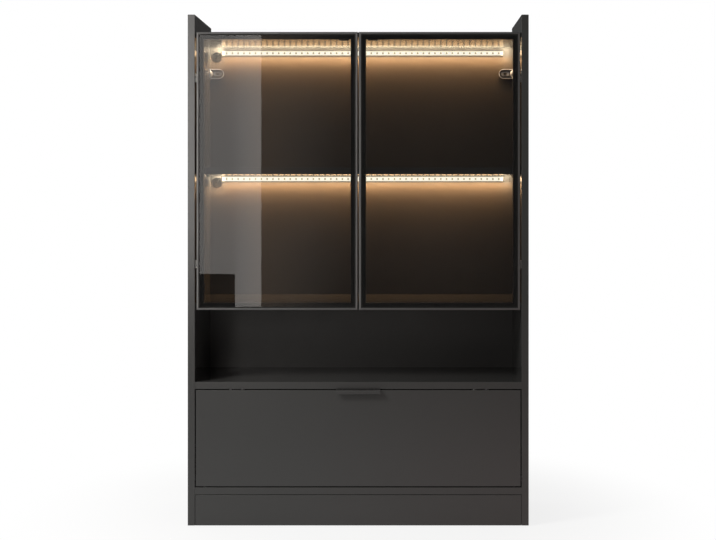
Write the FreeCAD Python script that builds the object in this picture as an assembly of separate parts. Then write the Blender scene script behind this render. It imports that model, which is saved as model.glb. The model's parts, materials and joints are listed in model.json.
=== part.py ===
import FreeCAD
import Part
import math
import os
from collections import namedtuple

from FreeCAD import Placement, Rotation, Vector

# Display cabinet in millimetres: +Z up, the front towards -Y, the origin on the
# floor under the middle of the whole box, with the flap's pull counted in.

# Overall sizes, boards, and the clear heights between them from the floor up
WIDTH = 1200.0
DEPTH = 400.0
HEIGHT = 1800.0
SIDE_T = 25.0
PLINTH_CLEAR = 111.0
BOTTOM_T = 25.0
CHEST_CLEAR = 346.0
COUNTER_T = 25.0
NICHE_CLEAR = 260.0
FLOOR_T = 18.0
TOP_T = 18.0
SIDE_RISE = 60.0
EDGE_R = 1.0

# Middle shelf on its pins
SHELF_T = 25.0
SHELF_LEVEL = 453.0
SHELF_SETBACK = 2.0
SHELF_PLAY = 1.0
SHELF_PIN_R = 2.5
SHELF_PIN_DEPTH = 12.0
SHELF_PIN_INSET = 70.0
SHELF_PAD = Vector(9.0, 13.0, 5.0)

# Back panels in their grooves
BACK_T = 9.0
BACK_INSET = 12.0
GROOVE_DEPTH = 6.0
GROOVE_FIT = 0.3

# Plinth and foot glides
PLINTH_T = 18.0
PLINTH_REVEAL = 1.5
PLINTH_REVEAL_DEPTH = 6.0
PLINTH_REAR_INSET = 30.0
PLINTH_RIB_X = 195.0
GLIDE_T = 2.0
GLIDE_R = 8.0
GLIDE_NAIL_R = 1.3
GLIDE_NAIL_LENGTH = 14.0
GLIDE_INSET = 45.0

# Cam locks, bolts and dowels at the ends of the level boards
CAM_R = 7.5
CAM_SET = 34.0
CAM_BITE = 4.0
CAM_SLOT_LENGTH = 10.5
CAM_SLOT_WIDTH = 1.6
CAM_SLOT_DEPTH = 1.5
CAM_INSET = 60.0
BOLT_R = 3.0
BOLT_GRIP = 11.0
BOLT_SHORT = 1.0
DOWEL_R = 4.0
DOWEL_IN_SIDE = 11.0
DOWEL_IN_BOARD = 22.0
DOWEL_STEP = 32.0
FIT = 0.1

# Screws shared by the fittings
SCREW_R = 2.0
SCREW_HEAD_R = 4.2
SCREW_HEAD_T = 2.0
SCREW_LENGTH = 14.0
HEAD_RIM_SHARE = 0.3

# Door frame profile, measured in from the outer edge and back from the front
DOOR_SETBACK = 1.0
DOOR_T = 20.0
DOOR_REAR_GAP = 2.0
DOOR_SIDE_GAP = 5.0
DOOR_MEET_GAP = 4.0
DOOR_TOP_REVEAL = 1.0
DOOR_PULL = 7.0
FRAME_W = 25.0
FRAME_WALL = 2.0
LIP_W = 7.0
LIP_ROUND = 2.0
GLASS_T = 4.0
GLASS_RECESS = 1.0
GLASS_PLAY = 0.6
SEAL_T = 1.0
SEAL_MARGIN = 0.5
MITRE_GAP = 0.05
KEY_LEG = 42.0
KEY_T = 5.0
KEY_FIT = 0.2

# Door hinges: a fixed arm with a knuckle, and a leaf in a notch of the stile
HINGE_U = 4.5
HINGE_V = 6.0
HINGE_END = 160.0
KNUCKLE_R = 2.6
KNUCKLE_GAP = 0.6
HINGE_PIN_R = 1.25
RUNNING_FIT = 0.05
PIN_FIT = 0.02
ARM_H = 29.0
ARM_T = 4.0
ARM_BASE_T = 3.5
ARM_BASE_LENGTH = 60.0
ARM_BASE_ROUND = 9.0
ELBOW_CLEAR = 1.5
ELBOW_ROUND = 2.0
ARM_SCREW_FIRST = 20.0
ARM_SCREW_STEP = 26.0
LEAF_T = 1.8
LEAF_FLANGE_T = 1.2
EAR_R = 2.6
EAR_T = 3.0
EAR_GAP = 0.3
EAR_DEPTH = 6.0
NOTCH_END = 1.0
LIP_SKIN = 3.0

# Magnets and strikes of the doors
STRIKE_L = 30.0
STRIKE_H = 6.0
STRIKE_T = 1.2
STRIKE_FROM_EDGE = 34.0
MAGNET_GAP = 0.3
MAGNET_L = 36.0
MAGNET_D = 16.0
MAGNET_H = 10.0
MAGNET_ROUND = 3.0

# Flap, its pull, pivots and strikes
FLAP_T = 18.0
FLAP_GAP = 3.5
PIVOT_IN = 7.0
PIVOT_RISE = 28.0
PIVOT_R = 4.0
PIVOT_IN_FLAP = 25.0
BUSH_R = 6.0
BUSH_LENGTH = 15.0
BUSH_FLANGE_R = 9.0
BUSH_FLANGE_T = 1.5
PULL_LENGTH = 156.0
PULL_T = 2.0
PULL_PROUD = 18.0
PULL_DROP = 14.0
PULL_RETURN = 5.0
PULL_SEAT = 14.0
PULL_ROUND = 2.5
PULL_SCREW_X = 55.0
PULL_SCREW_IN = 6.0
PULL_SCREW_HEAD_R = 3.4
PULL_SCREW_R = 1.6
PULL_SCREW_LENGTH = 20.0
FLAP_STRIKE_X = 430.0
FLAP_STRIKE_L = 60.0
FLAP_STRIKE_W = 11.0
FLAP_STRIKE_T = 1.2
FLAP_STRIKE_SCREWS = 42.0
FLAP_STRIKE_HEAD_R = 4.5
FLAP_STRIKE_HEAD_T = 2.9
FLAP_MAGNET_L = 30.0
FLAP_MAGNET_W = 10.0
FLAP_MAGNET_H = 8.0

# Quadrant stays of the flap and the guides that they slide through
STAY_R = 130.0
STAY_W = 10.0
STAY_T = 4.0
STAY_INSET = 14.0
STAY_PLAY = 0.6
STAY_FOOT_L = 32.0
STAY_FOOT_H = 28.0
STAY_FOOT_T = 2.5
STAY_FOOT_ROUND = 4.0
STAY_SCREW_X = 18.0
STAY_SCREW_Z = 8.0
STOP_R = 3.5
STOP_L = 12.0
STOP_CLEAR = 0.4
GUIDE_T = 5.0
GUIDE_WALL = 3.0
GUIDE_RIM = 6.0
GUIDE_FLANGE = 26.0
GUIDE_SCREW_Y = 14.0
GUIDE_SCREW_Z = 7.0
FLAP_OPEN = 90.0

# Light bars on the display back, with their leads and cable grommets
BAR_LEFT_GAP = 45.0
BAR_RIGHT_GAP = 35.0
BAR_H = 20.0
BAR_D = 10.0
BAR_WALL = 1.2
TOP_BAR_DROP = 10.0
SHELF_BAR_DROP = 4.0
COVER_T = 1.5
COVER_SET = 0.5
STRIP_H = 10.0
STRIP_T = 1.2
STRIP_MARGIN = 12.0
CHIP = 5.0
CHIP_T = 1.6
CHIP_PITCH = 22.0
LEAD_R = 2.0
LEAD_BEND = 6.0
LEAD_RUN = 10.0
LEAD_INSIDE = 5.0
LEAD_BEHIND = 2.0
GROMMET_R = 18.3
GROMMET_FLANGE_R = 20.0
GROMMET_FLANGE_T = 1.6
GROMMET_WALL = 1.4
GROMMET_WEB = 2.0
GROMMET_SIDE = 24.0
GROMMET_DROP = 15.0

# Wall brackets in the upper rear corners
BRACKET_LENGTH = 52.0
BRACKET_H = 36.0
BRACKET_T = 2.0
BRACKET_RIM = 6.0
BRACKET_RIM_T = 2.4
BRACKET_FLANGE = 26.0
BRACKET_PAD_L = 32.0
BRACKET_PAD_H = 17.0
BRACKET_PAD_T = 2.5
BRACKET_DROP = 98.0
BRACKET_HOLE_R = 3.25
BRACKET_HOLE_X = 28.0
WALL_HOLE_R = 6.0
KNOB_R = 11.5
KNOB_T = 8.0
KNOB_SCREW_R = 2.5
KNOB_LENGTH = 13.0
KNOB_FROM_BACK = 14.0

# Levels and planes that follow from the sizes above
INNER = WIDTH / 2 - SIDE_T
FRONT = -(DEPTH - PULL_PROUD) / 2
REAR = FRONT + DEPTH
BACK_FACE = REAR - BACK_INSET - BACK_T
BOTTOM_TOP = PLINTH_CLEAR + BOTTOM_T
COUNTER_LOW = BOTTOM_TOP + CHEST_CLEAR
COUNTER_TOP = COUNTER_LOW + COUNTER_T
FLOOR_LOW = COUNTER_TOP + NICHE_CLEAR
FLOOR_TOP = FLOOR_LOW + FLOOR_T
TOP_HIGH = HEIGHT - SIDE_RISE
TOP_LOW = TOP_HIGH - TOP_T
SHELF_LOW = FLOOR_TOP + SHELF_LEVEL
DOOR_FRONT = FRONT + DOOR_SETBACK
CASE_FRONT = DOOR_FRONT + DOOR_T + DOOR_REAR_GAP
SHELF_FRONT = CASE_FRONT + SHELF_SETBACK
DOOR_LOW = FLOOR_LOW - DOOR_PULL
DOOR_HEIGHT = TOP_HIGH - DOOR_TOP_REVEAL - DOOR_LOW
DOOR_LEFT = -INNER + DOOR_SIDE_GAP
DOOR_WIDTH = INNER - DOOR_SIDE_GAP - DOOR_MEET_GAP / 2
GLASS_SEAT = GLASS_RECESS + GLASS_T + SEAL_T
HINGE_AXIS = Vector(DOOR_LEFT + HINGE_U, DOOR_FRONT + HINGE_V, 0)
HINGE_HEIGHTS = (DOOR_LOW + HINGE_END, DOOR_LOW + DOOR_HEIGHT - HINGE_END)
NOTCH_U = HINGE_U + KNUCKLE_R + KNUCKLE_GAP + LEAF_T
ELBOW_Y = HINGE_AXIS.y + math.hypot(HINGE_U, HINGE_V) + ELBOW_CLEAR
LEAF_FRONT = max(HINGE_AXIS.y, DOOR_FRONT + GLASS_SEAT) + FIT
LEAF_HALF = ARM_H / 2 + EAR_GAP + EAR_T
FLAP_LOW = BOTTOM_TOP + FLAP_GAP
FLAP_TOP = COUNTER_LOW - FLAP_GAP
FLAP_HALF = INNER - FLAP_GAP
FLAP_REAR = FRONT + FLAP_T
PIVOT = Vector(0, FRONT + PIVOT_IN, FLAP_LOW + PIVOT_RISE)
STAY_X = INNER - STAY_INSET
GUIDE_FRONT = FLAP_REAR + STAY_FOOT_T + STOP_CLEAR
GUIDE_REAR = GUIDE_FRONT + GUIDE_T
STRIKE_MID = FRONT + FLAP_T / 2
BAR_LEFT = -INNER + BAR_LEFT_GAP
BAR_RIGHT = INNER - BAR_RIGHT_GAP
BAR_TOPS = (TOP_LOW - TOP_BAR_DROP, SHELF_LOW - SHELF_BAR_DROP)
BRACKET_Z = TOP_LOW - BRACKET_DROP
SIDES = (-1, 1)

Level = namedtuple("Level", "low high front cam_side grooves")
LEVELS = {
    "bottom_panel": Level(PLINTH_CLEAR, BOTTOM_TOP, FRONT, -1, (1,)),
    "counter_panel": Level(COUNTER_LOW, COUNTER_TOP, FRONT, -1, (1, -1)),
    "display_floor": Level(FLOOR_LOW, FLOOR_TOP, CASE_FRONT, -1, (1, -1)),
    "top_panel": Level(TOP_LOW, TOP_HIGH, CASE_FRONT, 1, (-1,)),
}


def box(x, y, z):
    """Block between two limits on each axis, in either order."""
    low = Vector(min(x), min(y), min(z))
    return Part.makeBox(abs(x[1] - x[0]), abs(y[1] - y[0]), abs(z[1] - z[0]), low)


def rod(start, end, radius):
    """Round bar from one point to another."""
    return Part.makeCylinder(radius, (end - start).Length, start, end - start)


def face(edges):
    """Flat face inside a closed run of edges."""
    return Part.Face(Part.Wire(edges))


def line(start, end):
    return Part.LineSegment(start, end).toShape()


def arc(start, middle, end):
    return Part.Arc(start, middle, end).toShape()


def outline(points):
    """Flat face inside straight edges through the points."""
    return Part.Face(Part.makePolygon(points + points[:1]))


def join(shapes):
    return shapes[0].multiFuse(shapes[1:]).removeSplitter()


def mirrored(shape):
    """The same piece on the other side of the cabinet."""
    return shape.mirror(Vector(0, 0, 0), Vector(1, 0, 0))


def near(a, b):
    return abs(a - b) < 1e-6


def round_edges(shape, radius, wanted):
    """Rounds each edge whose bounding box is wanted."""
    return shape.makeFillet(radius, [e for e in shape.Edges if wanted(e.BoundBox)])


def turned(seat, inward, profile):
    """Profile in the XZ plane turned about Z, then set at seat with Z along inward."""
    solid = profile.revolve(Vector(0, 0, 0), Vector(0, 0, 1), 360)
    solid.Placement = Placement(seat, Rotation(Vector(0, 0, 1), inward))
    return solid


def pan_screw(seat, inward, head_r, head_t, shank_r, length):
    """Domed screw: the head sits on the seat and the blunt shank runs inward."""
    cap = head_t * (1 - HEAD_RIM_SHARE)
    ball = (head_r ** 2 + cap ** 2) / (2 * cap)
    turn = math.asin(head_r / ball) / 2
    rim = Vector(head_r, 0, cap - head_t)
    shoulder = Vector(ball * math.sin(turn), 0, ball * (1 - math.cos(turn)) - head_t)
    crown = Vector(0, 0, -head_t)
    tip = Vector(0, 0, length)
    corners = [
        tip,
        Vector(shank_r / 2, 0, length),
        Vector(shank_r, 0, length - shank_r / 2),
        Vector(shank_r, 0, 0),
        Vector(head_r, 0, 0),
        rim,
    ]
    edges = [line(a, b) for a, b in zip(corners, corners[1:])]
    edges.append(arc(rim, shoulder, crown))
    edges.append(line(crown, tip))
    return turned(seat, inward, face(edges))


def sunk_screw(seat, inward, head_r, shank_r, length):
    """Countersunk screw: the flat head lies level with the seat."""
    cone = head_r - shank_r
    corners = [
        Vector(0, 0, 0),
        Vector(head_r, 0, 0),
        Vector(shank_r, 0, cone),
        Vector(shank_r, 0, length - shank_r / 2),
        Vector(shank_r / 2, 0, length),
        Vector(0, 0, length),
    ]
    return turned(seat, inward, outline(corners))


def inward_x(side):
    """From the cabinet's middle into that side's panel."""
    return Vector(side, 0, 0)


def end_fixings(level):
    """Side and depth of each cam, with the depth of the dowel beside it."""
    rear_cam = BACK_FACE - CAM_INSET
    front_cam = level.front + CAM_INSET
    for side in SIDES:
        yield side, front_cam, front_cam + DOWEL_STEP
        yield side, rear_cam, rear_cam - DOWEL_STEP


def cam_bolt(level, side, depth, play=0.0):
    middle = (level.low + level.high) / 2
    start = Vector(side * (INNER + BOLT_GRIP + play), depth, middle)
    end = Vector(side * (INNER - CAM_SET + BOLT_SHORT - play), depth, middle)
    return rod(start, end, BOLT_R + play)


def dowel(level, side, depth, play=0.0):
    middle = (level.low + level.high) / 2
    start = Vector(side * (INNER + DOWEL_IN_SIDE + play), depth, middle)
    end = Vector(side * (INNER - DOWEL_IN_BOARD - play), depth, middle)
    return rod(start, end, DOWEL_R + play)


def cam(level, side, depth, play=0.0):
    """Cam disc let into the hidden face of a board."""
    reach = (level.high - level.low) / 2 + CAM_BITE + play
    face_z = level.high if level.cam_side > 0 else level.low
    start = Vector(side * (INNER - CAM_SET), depth, face_z)
    return rod(start, start - Vector(0, 0, level.cam_side * reach), CAM_R + play)


def cam_lock(level, side, depth):
    """Cam disc with the hole for its bolt and a driver slot."""
    face_z = level.high if level.cam_side > 0 else level.low
    middle = side * (INNER - CAM_SET)
    slot = box(
        (middle - CAM_SLOT_LENGTH / 2, middle + CAM_SLOT_LENGTH / 2),
        (depth - CAM_SLOT_WIDTH / 2, depth + CAM_SLOT_WIDTH / 2),
        (face_z, face_z - level.cam_side * CAM_SLOT_DEPTH),
    )
    return cam(level, side, depth).cut([cam_bolt(level, side, depth, FIT), slot])


def groove_depths():
    return BACK_FACE - GROOVE_FIT, BACK_FACE + BACK_T + GROOVE_FIT


def hinge_screw_seats():
    """Where the screws of the left hinge arms sit on the arms."""
    first = ELBOW_Y + ARM_SCREW_FIRST
    for height in HINGE_HEIGHTS:
        for step in (0, ARM_SCREW_STEP):
            yield Vector(-INNER + ARM_BASE_T, first + step, height)


def guide_screw_seats():
    """Where the screws of the left stay guide sit on its flange."""
    for rise in (-GUIDE_SCREW_Z, GUIDE_SCREW_Z):
        yield Vector(-INNER + GUIDE_WALL, GUIDE_REAR + GUIDE_SCREW_Y, PIVOT.z + STAY_R + rise)


def left_side_screws(play=0.0):
    """Screws of the hinge arms and the stay guide on the left side panel."""
    seats = list(hinge_screw_seats()) + list(guide_screw_seats())
    radii = (SCREW_HEAD_R, SCREW_HEAD_T, SCREW_R + play, SCREW_LENGTH + play)
    return [pan_screw(seat, inward_x(-1), *radii) for seat in seats]


def left_knob(play=0.0):
    """Domed screw of the left wall bracket."""
    seat = Vector(-INNER + BRACKET_T, BACK_FACE - KNOB_FROM_BACK, BRACKET_Z)
    return pan_screw(seat, inward_x(-1), KNOB_R, KNOB_T, KNOB_SCREW_R + play, KNOB_LENGTH + play)


def shelf_pin_depths():
    return SHELF_FRONT + SHELF_PIN_INSET, BACK_FACE - SHELF_PIN_INSET


def shelf_pin_rod(depth, play=0.0):
    height = SHELF_LOW - SHELF_PAD.z / 2
    start = Vector(-INNER, depth, height)
    return rod(start, start - Vector(SHELF_PIN_DEPTH + play, 0, 0), SHELF_PIN_R + play)


def glide_places():
    """Middle of each foot glide under the side panels, the ribs and the rear plinth board."""
    side_x = WIDTH / 2 - SIDE_T / 2
    rear_y = REAR - PLINTH_REAR_INSET - PLINTH_T / 2
    for side in SIDES:
        yield Vector(side * side_x, FRONT + GLIDE_INSET, 0)
        yield Vector(side * side_x, REAR - GLIDE_INSET, 0)
        yield Vector(side * PLINTH_RIB_X, FRONT + GLIDE_INSET, 0)
        yield Vector(side * PLINTH_RIB_X, rear_y, 0)


def glide_nail(place, play=0.0):
    start = place + Vector(0, 0, GLIDE_T)
    return rod(start, start + Vector(0, 0, GLIDE_NAIL_LENGTH + play), GLIDE_NAIL_R + play)


def pivot_bush_hole():
    start = Vector(-INNER, PIVOT.y, PIVOT.z)
    return rod(start, start - Vector(BUSH_LENGTH + FIT, 0, 0), BUSH_R + FIT)


def left_side_panel():
    """Side panel with eased front and top edges, and every hole bored in its inner face."""
    panel = box((-INNER - SIDE_T, -INNER), (FRONT, REAR), (GLIDE_T, HEIGHT))
    panel = round_edges(
        panel,
        EDGE_R,
        lambda b: (near(b.YMax, FRONT) and b.ZMax > GLIDE_T) or near(b.ZMin, HEIGHT),
    )
    groove = box(
        (-INNER, -INNER - GROOVE_DEPTH),
        groove_depths(),
        (BOTTOM_TOP - GROOVE_DEPTH, TOP_LOW + GROOVE_DEPTH),
    )
    cuts = [groove, left_knob(FIT), pivot_bush_hole()] + left_side_screws(FIT)
    cuts += [shelf_pin_rod(depth, FIT) for depth in shelf_pin_depths()]
    cuts += [glide_nail(place, FIT) for place in glide_places() if place.x < -INNER]
    for level in LEVELS.values():
        for side, cam_depth, dowel_depth in end_fixings(level):
            if side < 0:
                cuts.append(cam_bolt(level, side, cam_depth, FIT))
                cuts.append(dowel(level, side, dowel_depth, FIT))
    return panel.cut(cuts)


def level_board(name):
    """Level board with eased front edges, back grooves and bored ends."""
    level = LEVELS[name]
    board = box((-INNER, INNER), (level.front, REAR), (level.low, level.high))
    board = round_edges(board, EDGE_R, lambda b: near(b.YMax, level.front) and b.XLength > INNER)
    cuts = []
    for upward in level.grooves:
        face_z = level.high if upward > 0 else level.low
        run = (face_z, face_z - upward * GROOVE_DEPTH)
        cuts.append(box((-INNER, INNER), groove_depths(), run))
    for side, cam_depth, dowel_depth in end_fixings(level):
        cuts.append(cam_bolt(level, side, cam_depth, FIT))
        cuts.append(cam(level, side, cam_depth, FIT))
        cuts.append(dowel(level, side, dowel_depth, FIT))
    if name == "counter_panel":
        cuts += [flap_magnet(side, FIT) for side in SIDES]
    return board.cut(cuts)


def back_panel(lower, upper, holes=()):
    """Back panel between two level boards, let into their grooves."""
    reach = GROOVE_DEPTH - GROOVE_FIT
    panel = box(
        (-INNER - reach, INNER + reach),
        (BACK_FACE, BACK_FACE + BACK_T),
        (lower.high - reach, upper.low + reach),
    )
    return panel.cut(list(holes)) if holes else panel


def through_back(place, radius):
    """Hole through the display back at that place."""
    return rod(place, place + Vector(0, BACK_T, 0), radius)


def grommet_places():
    """Middle of each cable grommet on the face of the display back."""
    for top in BAR_TOPS:
        yield Vector(-INNER + GROMMET_SIDE, BACK_FACE, top - BAR_H / 2 - GROMMET_DROP)


def bracket_hole_places():
    for side in SIDES:
        yield Vector(side * (INNER - BRACKET_HOLE_X), BACK_FACE, BRACKET_Z)


def display_back():
    holes = [through_back(place, GROMMET_R + FIT) for place in grommet_places()]
    holes += [through_back(place, WALL_HOLE_R) for place in bracket_hole_places()]
    return back_panel(LEVELS["display_floor"], LEVELS["top_panel"], holes)


def plinth_front():
    """Front plinth board, rebated along its top and ends so that a thin shadow line frames its face."""
    seen = INNER - PLINTH_REVEAL
    step = FRONT + PLINTH_REVEAL_DEPTH
    raised = box((-seen, seen), (FRONT, step), (GLIDE_T, PLINTH_CLEAR - PLINTH_REVEAL))
    raised = round_edges(raised, EDGE_R, lambda b: near(b.YMax, FRONT))
    return join([raised, box((-INNER, INNER), (step, FRONT + PLINTH_T), (GLIDE_T, PLINTH_CLEAR))])


def plinth_rear():
    rear = REAR - PLINTH_REAR_INSET
    board = box((-INNER, INNER), (rear - PLINTH_T, rear), (GLIDE_T, PLINTH_CLEAR))
    return board.cut([glide_nail(p, FIT) for p in glide_places() if p.y > 0])


def plinth_ribs():
    """Ribs from the front plinth board to the rear one, with a glide under each near the front."""
    run = (FRONT + PLINTH_T, REAR - PLINTH_REAR_INSET - PLINTH_T)
    half = PLINTH_T / 2
    nails = [glide_nail(place, FIT) for place in glide_places() if place.y < 0]
    ribs = []
    for side in SIDES:
        middle = side * PLINTH_RIB_X
        ribs.append(box((middle - half, middle + half), run, (GLIDE_T, PLINTH_CLEAR)).cut(nails))
    return ribs


def foot_glides():
    """Round nail-on glides."""
    glides = []
    for place in glide_places():
        disc = rod(place, place + Vector(0, 0, GLIDE_T), GLIDE_R)
        glides.append(join([disc, glide_nail(place)]))
    return glides


def middle_shelf():
    half = INNER - SHELF_PLAY
    board = box((-half, half), (SHELF_FRONT, BACK_FACE - SHELF_PLAY), (SHELF_LOW, SHELF_LOW + SHELF_T))
    return round_edges(board, EDGE_R, lambda b: near(b.YMax, SHELF_FRONT) and b.XLength > INNER)


def shelf_pins():
    """Round pins in the side panels with a flat pad under the shelf."""
    pins = []
    for depth in shelf_pin_depths():
        half = SHELF_PAD.y / 2
        pad = box(
            (-INNER, -INNER + SHELF_PAD.x),
            (depth - half, depth + half),
            (SHELF_LOW - SHELF_PAD.z, SHELF_LOW),
        )
        pin = join([pad, shelf_pin_rod(depth)])
        pins += [pin, mirrored(pin)]
    return pins


def frame_section():
    """Hollow door frame section: a rounded lip at the outer edge and a box behind the glass."""
    bend = LIP_ROUND * (1 - math.sqrt(0.5))
    corners = [
        Vector(LIP_ROUND, 0, 0),
        Vector(LIP_W, 0, 0),
        Vector(LIP_W, GLASS_SEAT, 0),
        Vector(FRAME_W, GLASS_SEAT, 0),
        Vector(FRAME_W, DOOR_T, 0),
        Vector(0, DOOR_T, 0),
        Vector(0, LIP_ROUND, 0),
    ]
    edges = [line(a, b) for a, b in zip(corners, corners[1:])]
    edges.append(arc(corners[-1], Vector(bend, bend, 0), corners[0]))
    hollow = outline([
        Vector(FRAME_WALL, GLASS_SEAT + FRAME_WALL, 0),
        Vector(FRAME_W - FRAME_WALL, GLASS_SEAT + FRAME_WALL, 0),
        Vector(FRAME_W - FRAME_WALL, DOOR_T - FRAME_WALL, 0),
        Vector(FRAME_WALL, DOOR_T - FRAME_WALL, 0),
    ])
    return face(edges).cut(hollow)


def frame_member(length):
    """Length of the section along Z with both ends mitred, outer edge at x = 0."""
    bar = frame_section().extrude(Vector(0, 0, length))
    mitre = outline([
        Vector(0, 0, MITRE_GAP),
        Vector(FRAME_W, 0, FRAME_W + MITRE_GAP),
        Vector(FRAME_W, 0, length - FRAME_W - MITRE_GAP),
        Vector(0, 0, length - MITRE_GAP),
    ])
    return bar.common(mitre.extrude(Vector(0, DOOR_T, 0)))


def on_door(shape, corner, angle):
    """Turns a frame member about Y and sets its outer end at a corner of the left door."""
    shape = shape.copy()
    place = Vector(DOOR_LEFT + corner[0] * DOOR_WIDTH, DOOR_FRONT, DOOR_LOW + corner[1] * DOOR_HEIGHT)
    shape.Placement = Placement(place, Rotation(Vector(0, 1, 0), angle)).multiply(shape.Placement)
    return shape


def hinge_notch(height):
    """Space cut from the hinge stile's rear outer corner for one hinge."""
    half = LEAF_HALF + NOTCH_END
    return box(
        (DOOR_LEFT - FIT, DOOR_LEFT + NOTCH_U),
        (DOOR_FRONT + LIP_SKIN, DOOR_FRONT + DOOR_T + FIT),
        (height - half, height + half),
    )


def hinge_stile():
    stile = on_door(frame_member(DOOR_HEIGHT), (0, 0), 0)
    return stile.cut([hinge_notch(height) for height in HINGE_HEIGHTS])


def door_panel(inset, front, thickness):
    """Flat sheet in the left door, set in from its outer edges."""
    return box(
        (DOOR_LEFT + inset, DOOR_LEFT + DOOR_WIDTH - inset),
        (DOOR_FRONT + front, DOOR_FRONT + front + thickness),
        (DOOR_LOW + inset, DOOR_LOW + DOOR_HEIGHT - inset),
    )


def door_seal():
    """Flat seal between the glass and the frame behind it."""
    front = GLASS_RECESS + GLASS_T
    ring = door_panel(LIP_W + SEAL_MARGIN, front, SEAL_T)
    return ring.cut(door_panel(FRAME_W - SEAL_MARGIN, front, SEAL_T))


def corner_keys():
    """L-shaped keys that hold each mitre together inside the frame's hollow."""
    low = FRAME_WALL + KEY_FIT
    high = FRAME_W - FRAME_WALL - KEY_FIT
    key_face = outline([
        Vector(low, 0, low),
        Vector(low + KEY_LEG, 0, low),
        Vector(low + KEY_LEG, 0, high),
        Vector(high, 0, high),
        Vector(high, 0, low + KEY_LEG),
        Vector(low, 0, low + KEY_LEG),
    ])
    front = GLASS_SEAT + FRAME_WALL + KEY_FIT
    depth = DOOR_T - FRAME_WALL - KEY_FIT - front
    key = key_face.extrude(Vector(0, depth, 0))
    key.translate(Vector(0, front, 0))
    window = KEY_T + low
    hollow = box((window, high - KEY_T), (front, front + depth), (window, high - KEY_T))
    key = key.cut(hollow)
    corners = (((0, 0), 0), ((0, 1), 90), ((1, 1), 180), ((1, 0), 270))
    return [on_door(key, corner, angle) for corner, angle in corners]


def knuckle_bore(height, radius):
    """Bore along the hinge axis through the knuckle and ears of one hinge."""
    middle = HINGE_AXIS + Vector(0, 0, height)
    reach = Vector(0, 0, LEAF_HALF)
    return rod(middle - reach, middle + reach, radius)


def hinge_leaf(height):
    """Leaf on the door: two ears round the pin, a web in the notch and a flange on the stile."""
    web_x = (DOOR_LEFT + NOTCH_U - LEAF_T, DOOR_LEFT + NOTCH_U)
    rear = DOOR_FRONT + DOOR_T
    whole = (height - LEAF_HALF, height + LEAF_HALF)
    web = box(web_x, (LEAF_FRONT, rear + LEAF_FLANGE_T), whole)
    flange = box((web_x[0], DOOR_LEFT + FRAME_W), (rear, rear + LEAF_FLANGE_T), whole)
    pieces = [web, flange]
    for low in (height - LEAF_HALF, height + LEAF_HALF - EAR_T):
        foot = HINGE_AXIS + Vector(0, 0, low)
        pieces.append(rod(foot, foot + Vector(0, 0, EAR_T), EAR_R))
        pieces.append(box(
            (HINGE_AXIS.x - EAR_R, web_x[1]),
            (LEAF_FRONT, LEAF_FRONT + EAR_DEPTH),
            (low, low + EAR_T),
        ))
    return join(pieces).cut(knuckle_bore(height, HINGE_PIN_R + PIN_FIT))


def hinge_arm(height):
    """Fixed arm: a knuckle on the hinge axis, a neck, an elbow and a base on the side panel."""
    low = height - ARM_H / 2
    wall = -INNER
    seat = wall + ARM_BASE_T
    neck = (HINGE_AXIS.x - ARM_T / 2, HINGE_AXIS.x + ARM_T / 2)
    elbow_rear = ELBOW_Y + ARM_T
    tail = ELBOW_Y + ARM_BASE_LENGTH
    plan = outline([
        Vector(neck[0], HINGE_AXIS.y, low),
        Vector(neck[0], ELBOW_Y, low),
        Vector(wall, ELBOW_Y, low),
        Vector(wall, tail, low),
        Vector(seat, tail, low),
        Vector(seat, elbow_rear, low),
        Vector(neck[1], elbow_rear, low),
        Vector(neck[1], HINGE_AXIS.y, low),
    ])
    body = plan.extrude(Vector(0, 0, ARM_H))
    body = round_edges(
        body,
        ELBOW_ROUND,
        lambda b: (
            b.ZLength > 0
            and near(b.YMax, elbow_rear)
            and (near(b.XMax, seat) or near(b.XMax, neck[1]))
        ),
    )
    body = round_edges(
        body,
        ARM_BASE_ROUND,
        lambda b: near(b.YMin, tail) and b.XLength > 0 and near(b.ZLength, 0),
    )
    start = HINGE_AXIS + Vector(0, 0, low)
    knuckle = rod(start, start + Vector(0, 0, ARM_H), KNUCKLE_R)
    cuts = [knuckle_bore(height, HINGE_PIN_R + RUNNING_FIT)] + left_side_screws(FIT)
    return join([body, knuckle]).cut(cuts)


def door_strike():
    """Steel strike on the rear of the top rail, beside the meeting edge."""
    right = DOOR_LEFT + DOOR_WIDTH - STRIKE_FROM_EDGE
    rear = DOOR_FRONT + DOOR_T
    low = TOP_LOW - MAGNET_H / 2 - STRIKE_H / 2
    return box((right - STRIKE_L, right), (rear, rear + STRIKE_T), (low, low + STRIKE_H))


def door_magnet():
    """Magnet case under the top panel that faces the strike."""
    middle = DOOR_LEFT + DOOR_WIDTH - STRIKE_FROM_EDGE - STRIKE_L / 2
    front = DOOR_FRONT + DOOR_T + STRIKE_T + MAGNET_GAP
    case = box(
        (middle - MAGNET_L / 2, middle + MAGNET_L / 2),
        (front, front + MAGNET_D),
        (TOP_LOW - MAGNET_H, TOP_LOW),
    )
    return round_edges(case, MAGNET_ROUND, lambda b: near(b.YMin, front + MAGNET_D) and b.ZLength > 0)


def left_door():
    """Every piece of the left door, by name."""
    return {
        "hinge_stile": hinge_stile(),
        "meeting_stile": on_door(frame_member(DOOR_HEIGHT), (1, 1), 180),
        "top_rail": on_door(frame_member(DOOR_WIDTH), (0, 1), 90),
        "bottom_rail": on_door(frame_member(DOOR_WIDTH), (1, 0), 270),
        "glass": door_panel(LIP_W + GLASS_PLAY, GLASS_RECESS, GLASS_T),
        "seal": door_seal(),
        "corner_keys": corner_keys(),
        "hinge_leaves": [hinge_leaf(height) for height in HINGE_HEIGHTS],
        "hinge_pins": [knuckle_bore(height, HINGE_PIN_R) for height in HINGE_HEIGHTS],
        "strike": door_strike(),
    }


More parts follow.
